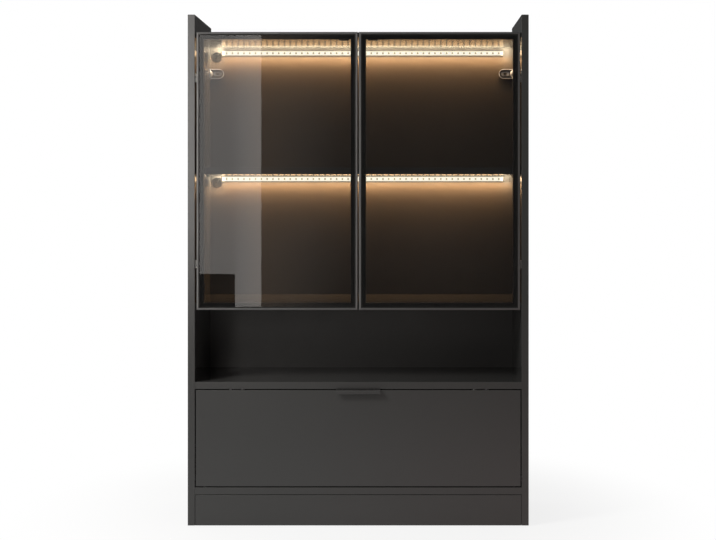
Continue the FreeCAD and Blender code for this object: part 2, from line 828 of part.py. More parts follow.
def pull_screw(side, play=0.0):
    """Countersunk screw through the pull's seat into the flap's top edge."""
    seat = Vector(side * PULL_SCREW_X, FRONT + PULL_SCREW_IN, FLAP_TOP + PULL_T)
    sizes = (PULL_SCREW_HEAD_R + play, PULL_SCREW_R + play, PULL_SCREW_LENGTH + play)
    return sunk_screw(seat, Vector(0, 0, -1), *sizes)


def strike_screw(side, end, play=0.0):
    """Pan-head screw of a strike plate on the flap's top edge."""
    along = side * FLAP_STRIKE_X + end * FLAP_STRIKE_SCREWS / 2
    seat = Vector(along, STRIKE_MID, FLAP_TOP)
    head = (FLAP_STRIKE_HEAD_R, FLAP_STRIKE_HEAD_T)
    return pan_screw(seat, Vector(0, 0, -1), *head, SCREW_R + play, SCREW_LENGTH + play)


def strike_screws(play=0.0):
    return [strike_screw(side, end, play) for side in SIDES for end in SIDES]


def stay_screws(play=0.0):
    """Screws through the stays' feet into the rear of the flap."""
    screws = []
    for side in SIDES:
        for rise in (-STAY_SCREW_Z, STAY_SCREW_Z):
            across = side * (STAY_X - STAY_SCREW_X)
            seat = Vector(across, FLAP_REAR + STAY_FOOT_T, PIVOT.z + STAY_R + rise)
            radii = (SCREW_HEAD_R, SCREW_HEAD_T, SCREW_R + play, SCREW_LENGTH + play)
            screws.append(pan_screw(seat, Vector(0, -1, 0), *radii))
    return screws


def flap_strike(side, play=0.0):
    """Steel strike plate let in level with the flap's top edge."""
    half = FLAP_STRIKE_L / 2 + play
    width = FLAP_STRIKE_W / 2 + play
    middle = side * FLAP_STRIKE_X
    return box(
        (middle - half, middle + half),
        (STRIKE_MID - width, STRIKE_MID + width),
        (FLAP_TOP - FLAP_STRIKE_T, FLAP_TOP),
    )


def flap_magnet(side, play=0.0):
    """Magnet let into the counter's underside over a strike plate."""
    half = FLAP_MAGNET_L / 2 + play
    width = FLAP_MAGNET_W / 2 + play
    middle = side * FLAP_STRIKE_X
    return box(
        (middle - half, middle + half),
        (STRIKE_MID - width, STRIKE_MID + width),
        (COUNTER_LOW, COUNTER_LOW + FLAP_MAGNET_H + play),
    )


def pivot_pin(side, play=0.0):
    """Pin from the flap's end into the bush in the side panel."""
    start = Vector(side * (FLAP_HALF - PIVOT_IN_FLAP - play), PIVOT.y, PIVOT.z)
    end = Vector(side * (INNER + BUSH_LENGTH - BUSH_FLANGE_T), PIVOT.y, PIVOT.z)
    return rod(start, end, PIVOT_R + play)


def flap_panel():
    panel = box((-FLAP_HALF, FLAP_HALF), (FRONT, FLAP_REAR), (FLAP_LOW, FLAP_TOP))
    panel = round_edges(panel, EDGE_R, lambda b: near(b.YMax, FRONT))
    cuts = [pivot_pin(side, PIN_FIT) for side in SIDES]
    cuts += [flap_strike(side, FIT) for side in SIDES]
    cuts += [pull_screw(side, FIT) for side in SIDES]
    cuts += strike_screws(FIT) + stay_screws(FIT)
    return panel.cut(cuts)


def flap_pull():
    """Bent metal edge pull: a seat on the flap's top edge, a lip in front and a short return."""
    top = FLAP_TOP + PULL_T
    front = FRONT - PULL_PROUD
    low = top - PULL_DROP
    rear = FRONT + PULL_SEAT
    left = -PULL_LENGTH / 2
    section = outline([
        Vector(left, rear, top),
        Vector(left, front, top),
        Vector(left, front, low),
        Vector(left, front + PULL_RETURN, low),
        Vector(left, front + PULL_RETURN, low + PULL_T),
        Vector(left, front + PULL_T, low + PULL_T),
        Vector(left, front + PULL_T, FLAP_TOP),
        Vector(left, rear, FLAP_TOP),
    ])
    pull = section.extrude(Vector(PULL_LENGTH, 0, 0))
    pull = round_edges(pull, PULL_ROUND, lambda b: b.XLength > 0 and near(b.YMax, front))
    return pull.cut([pull_screw(side, FIT) for side in SIDES])


def pivot_bush(side):
    """Flanged bush in the side panel."""
    inner = Vector(side * INNER, PIVOT.y, PIVOT.z)
    sleeve = rod(inner, inner + inward_x(side) * BUSH_LENGTH, BUSH_R)
    flange = rod(inner - inward_x(side) * BUSH_FLANGE_T, inner, BUSH_FLANGE_R)
    bore = rod(
        inner - inward_x(side) * BUSH_FLANGE_T,
        inner + inward_x(side) * BUSH_LENGTH,
        PIVOT_R + RUNNING_FIT,
    )
    return join([sleeve, flange]).cut(bore)


def about_pivot(radius, angle, across):
    """Point on a circle round the flap's pivot, its angle from straight up to the rear."""
    turn = math.radians(angle)
    return Vector(across, PIVOT.y + radius * math.sin(turn), PIVOT.z + radius * math.cos(turn))


def left_stay():
    """Quadrant stay: an arc round the pivot with a foot on the flap and a stop pin at its tail."""
    reach = GUIDE_REAR - PIVOT.y + STOP_CLEAR + STOP_R
    tail = FLAP_OPEN + math.degrees(math.asin(reach / STAY_R))
    across = -STAY_X - STAY_T / 2
    outer = [about_pivot(STAY_R + STAY_W / 2, share * tail, across) for share in (0, 0.5, 1)]
    inner = [about_pivot(STAY_R - STAY_W / 2, share * tail, across) for share in (1, 0.5, 0)]
    tip = about_pivot(STAY_R, tail + math.degrees(STAY_W / 2 / STAY_R), across)
    blade = face([
        arc(*outer),
        arc(outer[2], tip, inner[0]),
        arc(*inner),
        line(inner[2], outer[0]),
    ]).extrude(Vector(STAY_T, 0, 0))
    height = PIVOT.z + STAY_R
    in_front = box(
        (across, across + STAY_T), (FRONT, FLAP_REAR), (height - STAY_R / 2, height + STAY_W)
    )
    foot = box(
        (across, across + STAY_FOOT_L),
        (FLAP_REAR, FLAP_REAR + STAY_FOOT_T),
        (height - STAY_FOOT_H / 2, height + STAY_FOOT_H / 2),
    )
    foot = round_edges(
        foot, STAY_FOOT_ROUND, lambda b: near(b.XMin, across + STAY_FOOT_L) and b.YLength > 0
    )
    middle = about_pivot(STAY_R, tail, -STAY_X)
    stop = rod(middle - Vector(STOP_L / 2, 0, 0), middle + Vector(STOP_L / 2, 0, 0), STOP_R)
    return join([blade.cut(in_front), foot, stop]).cut(stay_screws(FIT))


def left_guide():
    """Bracket on the side panel with the slot that the stay slides through."""
    inner_r = STAY_R - STAY_W / 2
    outer_r = STAY_R + STAY_W / 2
    near_y = GUIDE_FRONT - PIVOT.y
    far_y = GUIDE_REAR - PIVOT.y
    slot_low = PIVOT.z + math.sqrt(inner_r ** 2 - far_y ** 2) - STAY_PLAY
    slot_high = PIVOT.z + math.sqrt(outer_r ** 2 - near_y ** 2) + STAY_PLAY
    slot_half = STAY_T / 2 + STAY_PLAY
    run = (slot_low - GUIDE_RIM, slot_high + GUIDE_RIM)
    block = box((-INNER, -STAY_X + slot_half + GUIDE_WALL), (GUIDE_FRONT, GUIDE_REAR), run)
    flange = box((-INNER, -INNER + GUIDE_WALL), (GUIDE_REAR, GUIDE_REAR + GUIDE_FLANGE), run)
    flange = round_edges(
        flange,
        GUIDE_RIM,
        lambda b: near(b.YMin, GUIDE_REAR + GUIDE_FLANGE) and b.XLength > 0,
    )
    slot = box((-STAY_X - slot_half, -STAY_X + slot_half), (GUIDE_FRONT, GUIDE_REAR), (slot_low, slot_high))
    return join([block, flange]).cut([slot] + left_side_screws(FIT))


def bar_box(top, x_inset, front_inset, depth, height):
    """Block centred in the height of a light bar, measured back from the bar's front."""
    front = BACK_FACE - BAR_D + front_inset
    middle = top - BAR_H / 2
    return box(
        (BAR_LEFT + x_inset, BAR_RIGHT - x_inset),
        (front, front + depth),
        (middle - height / 2, middle + height / 2),
    )


def bar_channel(top):
    """Channel of a light bar, open in front, with closed ends and a hole for its lead."""
    whole = bar_box(top, 0, 0, BAR_D, BAR_H)
    hollow = bar_box(top, BAR_WALL, 0, BAR_D - BAR_WALL, BAR_H - 2 * BAR_WALL)
    start = lead_points(top)[0]
    hole = rod(start, start - Vector(LEAD_INSIDE + LEAD_RUN, 0, 0), LEAD_R + FIT)
    return whole.cut([hollow, hole])


def bar_cover(top):
    return bar_box(top, BAR_WALL + FIT, COVER_SET, COVER_T, BAR_H - 2 * BAR_WALL - 2 * FIT)


def bar_strip(top):
    return bar_box(top, STRIP_MARGIN, BAR_D - BAR_WALL - STRIP_T, STRIP_T, STRIP_H)


def bar_chips(top):
    """Row of light chips along the strip."""
    rear = BACK_FACE - BAR_WALL - STRIP_T
    middle = top - BAR_H / 2
    count = int((BAR_RIGHT - BAR_LEFT - 2 * STRIP_MARGIN - CHIP) / CHIP_PITCH) + 1
    first = (BAR_LEFT + BAR_RIGHT - (count - 1) * CHIP_PITCH) / 2
    chips = []
    for number in range(count):
        across = first + number * CHIP_PITCH
        chips.append(box(
            (across - CHIP / 2, across + CHIP / 2),
            (rear - CHIP_T, rear),
            (middle - CHIP / 2, middle + CHIP / 2),
        ))
    return chips


def lead_points(top):
    """Route of a lead: out of the bar's end, down to the grommet and back through it."""
    depth = BACK_FACE - BAR_D / 2
    height = top - BAR_H / 2
    hole_x = -INNER + GROMMET_SIDE
    hole_z = height - GROMMET_DROP
    return [
        Vector(BAR_LEFT + LEAD_INSIDE, depth, height),
        Vector(BAR_LEFT - LEAD_RUN, depth, height),
        Vector(hole_x, depth, hole_z),
        Vector(hole_x, BACK_FACE + BACK_T + LEAD_BEHIND, hole_z),
    ]


def lead(top):
    """Round lead swept along straight runs joined by tangent arcs."""
    points = lead_points(top)
    edges = []
    start = points[0]
    for before, corner, after in zip(points, points[1:], points[2:]):
        back = (before - corner).normalize()
        ahead = (after - corner).normalize()
        half = back.getAngle(ahead) / 2
        reach = LEAD_BEND / math.tan(half)
        into = corner + back * reach
        out = corner + ahead * reach
        bisector = (back + ahead).normalize()
        middle = corner + bisector * (LEAD_BEND / math.sin(half) - LEAD_BEND)
        edges.append(line(start, into))
        edges.append(arc(into, middle, out))
        start = out
    edges.append(line(start, points[-1]))
    profile = Part.Wire(Part.makeCircle(LEAD_R, points[0], points[0] - points[1]))
    return Part.Wire(edges).makePipeShell([profile], True, False)


def grommet(place):
    """Flanged sleeve through the back with a web that closes round the lead."""
    inward = Vector(0, 1, 0)
    sleeve = rod(place, place + inward * BACK_T, GROMMET_R)
    flange = rod(place - inward * GROMMET_FLANGE_T, place, GROMMET_FLANGE_R)
    bore = rod(
        place - inward * GROMMET_FLANGE_T,
        place + inward * (BACK_T - GROMMET_WEB),
        GROMMET_R - GROMMET_WALL,
    )
    hole = rod(place, place + inward * BACK_T, LEAD_R + FIT)
    return join([sleeve, flange]).cut([bore, hole])


def bracket_outline(depth, margin):
    """Plate with a half-round end, its straight end on the left side panel."""
    half = BRACKET_H / 2 - margin
    straight = -INNER + BRACKET_LENGTH - BRACKET_H / 2
    start = -INNER
    top_run = line(Vector(start, depth, BRACKET_Z + half), Vector(straight, depth, BRACKET_Z + half))
    nose = arc(
        Vector(straight, depth, BRACKET_Z + half),
        Vector(straight + half, depth, BRACKET_Z),
        Vector(straight, depth, BRACKET_Z - half),
    )
    low_run = line(Vector(straight, depth, BRACKET_Z - half), Vector(start, depth, BRACKET_Z - half))
    end = line(Vector(start, depth, BRACKET_Z - half), Vector(start, depth, BRACKET_Z + half))
    return face([top_run, nose, low_run, end])


def bracket_pad():
    """Oval pad on the bracket's plate that the wall screw bears on."""
    middle = Vector(-INNER + BRACKET_HOLE_X, BACK_FACE - BRACKET_T, BRACKET_Z)
    rise = Vector(0, -BRACKET_PAD_T, 0)
    radius = BRACKET_PAD_H / 2
    reach = BRACKET_PAD_L / 2 - radius
    bar = box(
        (middle.x - reach, middle.x + reach),
        (middle.y, middle.y + rise.y),
        (middle.z - radius, middle.z + radius),
    )
    ends = [middle + Vector(side * reach, 0, 0) for side in SIDES]
    return join([bar] + [rod(end, end + rise, radius) for end in ends])


def left_bracket():
    """Pressed wall bracket: a rimmed plate with a pad on the back, and a flange on the side panel."""
    toward = Vector(0, -1, 0)
    plate = bracket_outline(BACK_FACE, 0).extrude(toward * BRACKET_T)
    rim_depth = BRACKET_T + BRACKET_RIM
    rim = bracket_outline(BACK_FACE, 0).extrude(toward * rim_depth)
    rim = rim.cut(bracket_outline(BACK_FACE, BRACKET_RIM_T).extrude(toward * rim_depth))
    flange = box(
        (-INNER, -INNER + BRACKET_T),
        (BACK_FACE - BRACKET_FLANGE, BACK_FACE),
        (BRACKET_Z - BRACKET_H / 2, BRACKET_Z + BRACKET_H / 2),
    )
    hole_at = Vector(-INNER + BRACKET_HOLE_X, BACK_FACE, BRACKET_Z)
    hole = rod(hole_at, hole_at + toward * (BRACKET_T + BRACKET_PAD_T), BRACKET_HOLE_R)
    return join([plate, rim, flange, bracket_pad()]).cut([hole, left_knob(FIT)])


def both_sides(shape):
    return [shape, mirrored(shape)]


def all_pieces():
    """Every node of the cabinet: a solid, or a list of like solids."""
    fixings = [
        (level, side, cam_depth, dowel_depth)
        for level in LEVELS.values()
        for side, cam_depth, dowel_depth in end_fixings(level)
    ]
    side_panel = left_side_panel()
    arms = [hinge_arm(height) for height in HINGE_HEIGHTS]
    flap_screws = [pull_screw(side) for side in SIDES] + strike_screws() + stay_screws()
    pieces = {
        "left_side_panel": side_panel,
        "right_side_panel": mirrored(side_panel),
        "middle_shelf": middle_shelf(),
        "shelf_pins": shelf_pins(),
        "display_back": display_back(),
        "niche_back": back_panel(LEVELS["counter_panel"], LEVELS["display_floor"]),
        "chest_back": back_panel(LEVELS["bottom_panel"], LEVELS["counter_panel"]),
        "plinth_front": plinth_front(),
        "plinth_rear": plinth_rear(),
        "plinth_ribs": plinth_ribs(),
        "foot_glides": foot_glides(),
        "cam_locks": [cam_lock(level, side, depth) for level, side, depth, _ in fixings],
        "cam_bolts": [cam_bolt(level, side, depth) for level, side, depth, _ in fixings],
        "dowels": [dowel(level, side, depth) for level, side, _, depth in fixings],
        "door_hinge_arms": arms + [mirrored(arm) for arm in arms],
        "fitting_screws": left_side_screws() + [mirrored(s) for s in left_side_screws()],
        "door_magnets": both_sides(door_magnet()),
        "flap_panel": flap_panel(),
        "flap_pull": flap_pull(),
        "flap_screws": flap_screws,
        "flap_strikes": [flap_strike(side).cut(strike_screws(FIT)) for side in SIDES],
        "flap_magnets": [flap_magnet(side) for side in SIDES],
        "flap_pivot_pins": [pivot_pin(side) for side in SIDES],
        "flap_pivot_bushes": [pivot_bush(side) for side in SIDES],
        "quadrant_stays": both_sides(left_stay()),
        "stay_guides": both_sides(left_guide()),
        "light_channels": [bar_channel(top) for top in BAR_TOPS],
        "light_covers": [bar_cover(top) for top in BAR_TOPS],
        "light_strips": [bar_strip(top) for top in BAR_TOPS],
        "light_chips": [chip for top in BAR_TOPS for chip in bar_chips(top)],
        "light_leads": [lead(top) for top in BAR_TOPS],
        "cable_grommets": [grommet(place) for place in grommet_places()],
        "wall_brackets": both_sides(left_bracket()),
        "wall_bracket_screws": both_sides(left_knob()),
    }
    for name in LEVELS:
        pieces[name] = level_board(name)
    for name, piece in left_door().items():
        right = [mirrored(p) for p in piece] if isinstance(piece, list) else mirrored(piece)
        pieces["left_door_" + name] = piece
        pieces["right_door_" + name] = right
    return pieces


def write(pieces):
    os.makedirs("parts", exist_ok=True)
    for name, piece in pieces.items():
        shape = Part.makeCompound(piece) if isinstance(piece, list) else piece
        solids = shape.Solids
        wanted = len(piece) if isinstance(piece, list) else 1
        if len(solids) != wanted or not shape.isValid() or min(s.Volume for s in solids) <= 0:
            raise ValueError(name + " is not made of whole solids")
        shape.exportStep("parts/" + name + ".step")
        print(name, len(solids), round(shape.Volume), "mm3")


write(all_pieces())
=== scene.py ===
# %% [markdown]
# # A lit display cabinet
# The cabinet comes from its construction model, already at its real size and in
# metres, so nothing here moves or resizes it. This lesson dresses it: a camera and a
# studio first, then a finish for every board, rail, pane and fitting, and last the few
# small pieces that are better modelled here than in the construction model.

# %% Load the construction model
import json
import math

import bmesh
import bpy
import numpy as np
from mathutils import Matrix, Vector


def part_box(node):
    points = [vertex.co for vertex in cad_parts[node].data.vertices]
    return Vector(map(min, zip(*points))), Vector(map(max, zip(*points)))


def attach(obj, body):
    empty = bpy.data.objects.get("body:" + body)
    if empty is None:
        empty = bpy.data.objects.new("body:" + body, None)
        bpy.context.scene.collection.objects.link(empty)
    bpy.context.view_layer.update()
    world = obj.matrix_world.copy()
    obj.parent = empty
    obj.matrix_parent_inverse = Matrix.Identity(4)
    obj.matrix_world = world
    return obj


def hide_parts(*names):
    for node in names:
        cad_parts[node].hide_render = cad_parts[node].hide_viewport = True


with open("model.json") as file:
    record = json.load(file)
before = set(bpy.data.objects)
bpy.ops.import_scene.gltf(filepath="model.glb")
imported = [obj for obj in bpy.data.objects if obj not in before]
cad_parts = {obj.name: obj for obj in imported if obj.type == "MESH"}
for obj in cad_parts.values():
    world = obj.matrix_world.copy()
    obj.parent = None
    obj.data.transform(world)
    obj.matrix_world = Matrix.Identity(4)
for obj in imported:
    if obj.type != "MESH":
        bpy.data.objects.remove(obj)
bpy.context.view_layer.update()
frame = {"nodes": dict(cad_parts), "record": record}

# %% [markdown]
# ## The camera
# The photograph looks straight at the front, yet the cabinet is not in the middle of
# the perspective: its level edges all run to one point right of the middle and above
# the shelf. A turned camera would make the uprights lean. So the camera looks squarely
# along +Y from that point, and the lens is shifted, as a view camera's is.

# %% Camera
IMAGE_WIDTH, IMAGE_HEIGHT = 716, 540
VANISHING_PIXEL = (400.0, 189.0)
FOCAL_PIXELS = 1307.0
EYE = Vector((0.147, -4.79, 1.186))

lens = bpy.data.cameras.new("view_camera")
lens.sensor_width = 36.0
lens.lens = lens.sensor_width * FOCAL_PIXELS / IMAGE_WIDTH
lens.shift_x = (IMAGE_WIDTH / 2 - VANISHING_PIXEL[0]) / IMAGE_WIDTH
lens.shift_y = (VANISHING_PIXEL[1] - IMAGE_HEIGHT / 2) / IMAGE_WIDTH
camera = bpy.data.objects.new("view_camera", lens)
camera.location = EYE
camera.rotation_euler = (math.radians(90), 0, 0)
bpy.context.collection.objects.link(camera)
scene = bpy.context.scene
scene.camera = camera
scene.view_settings.view_transform = "Standard"
print("lens", round(lens.lens, 1), "mm, shift", round(lens.shift_x, 3), round(lens.shift_y, 3))

# %% [markdown]
# ## A short way to write nodes
# A finish is a small graph of shader nodes. Setting each socket and link on a line of
# its own hides what the graph means, so one helper adds a node and takes its sockets as
# a dictionary: a number or a colour is set, and another node's output is linked. The
# other helpers name common sums.


# %% Node helpers
def add(tree, kind, sockets=None, **settings):
    """Adds a node, sets its own settings, then sets or links its input sockets."""
    made = tree.nodes.new("ShaderNode" + kind)
    for name, value in settings.items():
        setattr(made, name, value)
    for key, value in (sockets or {}).items():
        if isinstance(value, bpy.types.NodeSocket):
            tree.links.new(value, made.inputs[key])
        else:
            made.inputs[key].default_value = value
    return made


def blend_values(tree, factor, low, high):
    """Number that runs from low to high as the factor runs from 0 to 1."""
    return add(tree, "Mix", {0: factor, 2: low, 3: high}, data_type="FLOAT").outputs[0]


def blend_colours(tree, factor, low, high):
    """Colour that runs from low to high as the factor runs from 0 to 1."""
    return add(tree, "Mix", {0: factor, 6: low, 7: high}, data_type="RGBA").outputs[2]


def ramp(tree, value, start, end, low=0.0, high=1.0, kind="SMOOTHSTEP"):
    """Value eased from low at start to high at end, and held outside them."""
    sockets = {"Value": value, "From Min": start, "From Max": end, "To Min": low, "To Max": high}
    return add(tree, "MapRange", sockets, interpolation_type=kind).outputs["Result"]


def spread(tree, cloud, low=0.0, high=1.0):
    """Noise seldom leaves 0.3 to 0.7, so that stretch is eased out to run from low to high."""
    return ramp(tree, cloud, 0.3, 0.7, low, high)


def arithmetic(tree, operation, first, second=0.0):
    """Result of a sum with one or two values."""
    return add(tree, "Math", {0: first, 1: second}, operation=operation).outputs[0]


def product(tree, first, *others):
    """All the values multiplied."""
    for other in others:
        first = arithmetic(tree, "MULTIPLY", first, other)
    return first


def dimmed(tree, colour, share):
    """Colour times a share of it."""
    return add(tree, "VectorMath", {0: colour, "Scale": share}, operation="SCALE").outputs[0]


def rgba(red, green, blue):
    """Colour that covers fully."""
    return (red, green, blue, 1.0)


def seen_straight(tree, rays):
    """1 where the camera looks straight or through glass, 0 for light on its way to a surface."""
    turned = arithmetic(tree, "ADD", rays["Diffuse Depth"], rays["Glossy Depth"])
    through_glass = arithmetic(tree, "GREATER_THAN", rays["Is Transmission Ray"], turned)
    return arithmetic(tree, "MAXIMUM", rays["Is Camera Ray"], through_glass)


WHITE = rgba(1, 1, 1)
print("node helpers are ready")

# %% [markdown]
# ## The studio
# The background of the photograph is plain white, but a cabinet lit from all sides by
# white paper would lose its depth, and its glass would mirror nothing but paper. So the
# world is white only where it is seen straight or through glass. For the lighting it is
# a pale ring round the front of the cabinet, brightest overhead and on the left, so that
# the open niche stays in shade. It is dim behind the camera, and paler again behind the
# cabinet, so that the sides and the back can be made out from there.

# %% World: light on surfaces
RING_LIGHT, REST_LIGHT, REAR_LIGHT = 0.45, 0.09, 0.7
RING_OPENS, RING_CLOSES = (-0.15, 0.25), (0.85, 0.6)
RING_LEAN = 0.3
OVERHEAD, SIDE_SHARE = (0.0, 0.7), 0.3
REARWARD = (0.1, -0.35)

world = bpy.data.worlds.new("pale_studio")
scene.world = world
world.use_nodes = True
sky = world.node_tree
sky.nodes.clear()
rays = add(sky, "LightPath").outputs
direction = add(sky, "SeparateXYZ", {0: add(sky, "TexCoord").outputs["Generated"]}).outputs
forward = arithmetic(sky, "MULTIPLY", direction["Y"], -1.0)
ring = product(
    sky,
    ramp(sky, forward, *RING_OPENS),
    ramp(sky, forward, *RING_CLOSES),
    ramp(sky, direction["Z"], *OVERHEAD, SIDE_SHARE, 1.0),
)
slope = {0: direction["X"], 1: -RING_LEAN, 2: 1.0}
lean = add(sky, "Math", slope, operation="MULTIPLY_ADD").outputs[0]
rest = blend_values(sky, ramp(sky, forward, *REARWARD), REST_LIGHT, REAR_LIGHT)
shine = product(sky, lean, blend_values(sky, ring, rest, RING_LIGHT))
print("ring light", RING_LIGHT, "elsewhere", REST_LIGHT, "and behind", REAR_LIGHT)

# %% [markdown]
# What the gloss mirrors is set apart from that light: a dim room, paler to the sides. A
# soft warm haze lies in the left door, just to the right of the sharp image of a
# softbox. It is taken for a lit part of the room, so it belongs to the world and not to
# the glass.

# %% World: what the gloss mirrors
MIRROR_DIM, MIRROR_RING, MIRROR_HAZE = 0.06, 0.4, 0.4
SIDEWAYS = (0.96, 0.8)
UPWARD, UPWARD_SHARE = (0.35, 0.9), 0.45
HAZE_RISES, HAZE_ENDS, HAZE_AHEAD = (-0.03, -0.12), (-0.126, -0.107), (0.9, 0.97)

haze = product(
    sky,
    ramp(sky, direction["X"], *HAZE_RISES),
    ramp(sky, direction["X"], *HAZE_ENDS),
    ramp(sky, forward, *HAZE_AHEAD),
)
dim = blend_values(sky, haze, MIRROR_DIM, MIRROR_HAZE)
sideways = ramp(sky, arithmetic(sky, "ABSOLUTE", direction["Y"]), *SIDEWAYS)
upward = ramp(sky, direction["Z"], *UPWARD, 1.0, UPWARD_SHARE)
mirrored = product(sky, upward, blend_values(sky, sideways, dim, MIRROR_RING))
print("mirrored room", MIRROR_DIM, "to", MIRROR_RING)

# %% World: strength and tint
WARM_RIGHT, WARM_EDGES = rgba(1.0, 0.93, 0.91), (-0.4, 0.7)
HAZE_TINT = rgba(1.0, 0.78, 0.62)

straight = seen_straight(sky, rays)
room = blend_values(sky, rays["Is Glossy Ray"], shine, mirrored)
level = blend_values(sky, straight, room, 1.0)
tint = blend_colours(sky, ramp(sky, direction["X"], *WARM_EDGES), WHITE, WARM_RIGHT)
tint = blend_colours(sky, product(sky, haze, rays["Is Glossy Ray"]), tint, HAZE_TINT)
colour = blend_colours(sky, straight, tint, WHITE)
paper = add(sky, "Background", {"Color": colour, "Strength": level})
add(sky, "OutputWorld", {"Surface": paper.outputs[0]})
print("world", world.name, len(sky.nodes), "nodes")

# %% [markdown]
# ## The floor
# The floor has to catch a soft shadow near the plinth and be lost in the white further
# out. Its material is a matt pale paint for the light that it passes on, and for what
# the camera sees it fades into white with the distance from the cabinet. In the gloss
# of the boards and the panes, a floor that is white to its edge would look like milk,
# so there it darkens with the distance, and it is a little warmer on the right.

# %% Floor
FLOOR_REACH = (6.0, 5.0)

reach_x, reach_y = FLOOR_REACH
corners = [(x * reach_x, y * reach_y, 0) for x, y in ((-1, -1), (1, -1), (1, 1), (-1, 1))]
sheet = bpy.data.meshes.new("studio_floor")
sheet.from_pydata(corners, [], [(0, 1, 2, 3)])
floor = bpy.data.objects.new("studio_floor", sheet)
bpy.context.collection.objects.link(floor)
print("floor", 2 * reach_x, "by", 2 * reach_y, "m")

# %% Floor paint
FLOOR_PAINT = rgba(0.82, 0.82, 0.81)
SHADOW_SHOWS, FADE_EDGES = 0.18, (0.62, 1.35)
FLOOR_MIRRORED, MIRROR_EDGES = (0.76, 0.12), (1.0, 4.5)
FLOOR_WARM, FLOOR_WARM_EDGES = rgba(1.0, 0.8, 0.78), (-0.6, 0.9)

paint = bpy.data.materials.new("floor_paint")
paint.use_nodes = True
tree = paint.node_tree
tree.nodes.clear()
rays = add(tree, "LightPath").outputs
place = add(tree, "TexCoord").outputs["Object"]
distance = add(tree, "VectorMath", {0: place}, operation="LENGTH").outputs["Value"]
fade = ramp(tree, distance, *FADE_EDGES, 1.0 - SHADOW_SHOWS, 1.0)
in_gloss = ramp(tree, distance, *MIRROR_EDGES, *FLOOR_MIRRORED)
strength = blend_values(tree, rays["Is Glossy Ray"], 1.0, in_gloss)
to_right = ramp(tree, add(tree, "SeparateXYZ", {0: place}).outputs["X"], *FLOOR_WARM_EDGES)
warm = product(tree, to_right, rays["Is Glossy Ray"])
hue = blend_colours(tree, warm, WHITE, FLOOR_WARM)
seen = arithmetic(tree, "MAXIMUM", seen_straight(tree, rays), rays["Is Glossy Ray"])
matt = add(tree, "BsdfDiffuse", {"Color": FLOOR_PAINT}).outputs[0]
white = add(tree, "Emission", {"Color": hue, "Strength": strength}).outputs[0]
mixed = add(tree, "MixShader", {0: product(tree, seen, fade), 1: matt, 2: white})
add(tree, "OutputMaterial", {"Surface": mixed.outputs[0]})
floor.data.materials.append(paint)
print("floor paint fades over", FADE_EDGES, "m")

# %% [markdown]
# ## The softboxes
# The left door mirrors two upright softboxes with sharp edges, and the side panel
# beside it catches a third, brighter one. A mirror image in flat glass tells where a
# lamp stands: the line from the mirrored eye through the image's edge runs on to the
# lamp's edge. The helper below does that sum, so each softbox is given by the stretch
# of the door front on which its image has to lie. Two plain softboxes, at the left and
# overhead, light the boards.

# %% Softboxes from their images
SOFTBOX_Y = -3.0
SOFTBOX_LIGHT = (1, 0.965, 0.935)
IMAGE_TOP = 1.90
DOOR_GLASS_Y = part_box("left_door_glass")[0].y


def mirrored_edge(front, eye):
    """Where the ray that glances off the door front at this place reaches the softboxes."""
    return front + (front - eye) * (DOOR_GLASS_Y - SOFTBOX_Y) / (DOOR_GLASS_Y - EYE.y)


def lamp(name, size, power, colour, place, aim, shown_in_gloss=True):
    """Rectangular lamp of a given size that shines from its place along aim."""
    light = bpy.data.lights.new(name, "AREA")
    light.shape = "RECTANGLE"
    light.size, light.size_y = size
    light.energy = power
    light.color = colour
    made = bpy.data.objects.new(name, light)
    made.location = place
    made.rotation_euler = Vector(aim).to_track_quat("-Z", "Y").to_euler()
    made.visible_camera = False
    made.visible_transmission = False
    made.visible_glossy = shown_in_gloss
    bpy.context.collection.objects.link(made)
    return made


def softbox(name, image_x, image_z, radiance):
    """Softbox whose image covers a stretch of the door front; lamps shine power / 4 / area."""
    left, right = (mirrored_edge(x, EYE.x) for x in image_x)
    low, high = (mirrored_edge(z, EYE.z) for z in image_z)
    size = (right - left, high - low)
    place = ((left + right) / 2, SOFTBOX_Y, (low + high) / 2)
    made = lamp(name, size, 4 * radiance * size[0] * size[1], SOFTBOX_LIGHT, place, (0, 1, 0))
    made.visible_diffuse = False
    return made


softbox("strip_softbox", (-0.434, -0.3414), (0.70, IMAGE_TOP), 2.0)
softbox("panel_softbox", (-0.572, -0.434), (0.887, IMAGE_TOP), 1.75)
softbox("far_softbox", (-0.85, -0.574), (0.95, IMAGE_TOP), 6.8)
lamp(
    "side_softbox", size=(0.7, 0.7), power=58.0, colour=(1, 0.99, 0.975),
    place=(-1.8, -1.5, 2.3), aim=(0.62, 0.48, -0.62), shown_in_gloss=False,
)
lamp(
    "top_softbox", size=(2.6, 1.6), power=4.0, colour=(1, 1, 1),
    place=(-0.3, -2.2, 3.3), aim=(0.05, 0.75, -0.8),
)
print("softboxes stand", round(DOOR_GLASS_Y - SOFTBOX_Y, 2), "m in front of the doors")

# %% [markdown]
# ## Which solids a node holds
# Like pieces share a node of the construction model, such as the two light bars. To
# put lamps at each, their places have to be told apart. Points that share a triangle
# belong together, so every point takes the smallest label of its triangle, again and
# again, until no label changes.


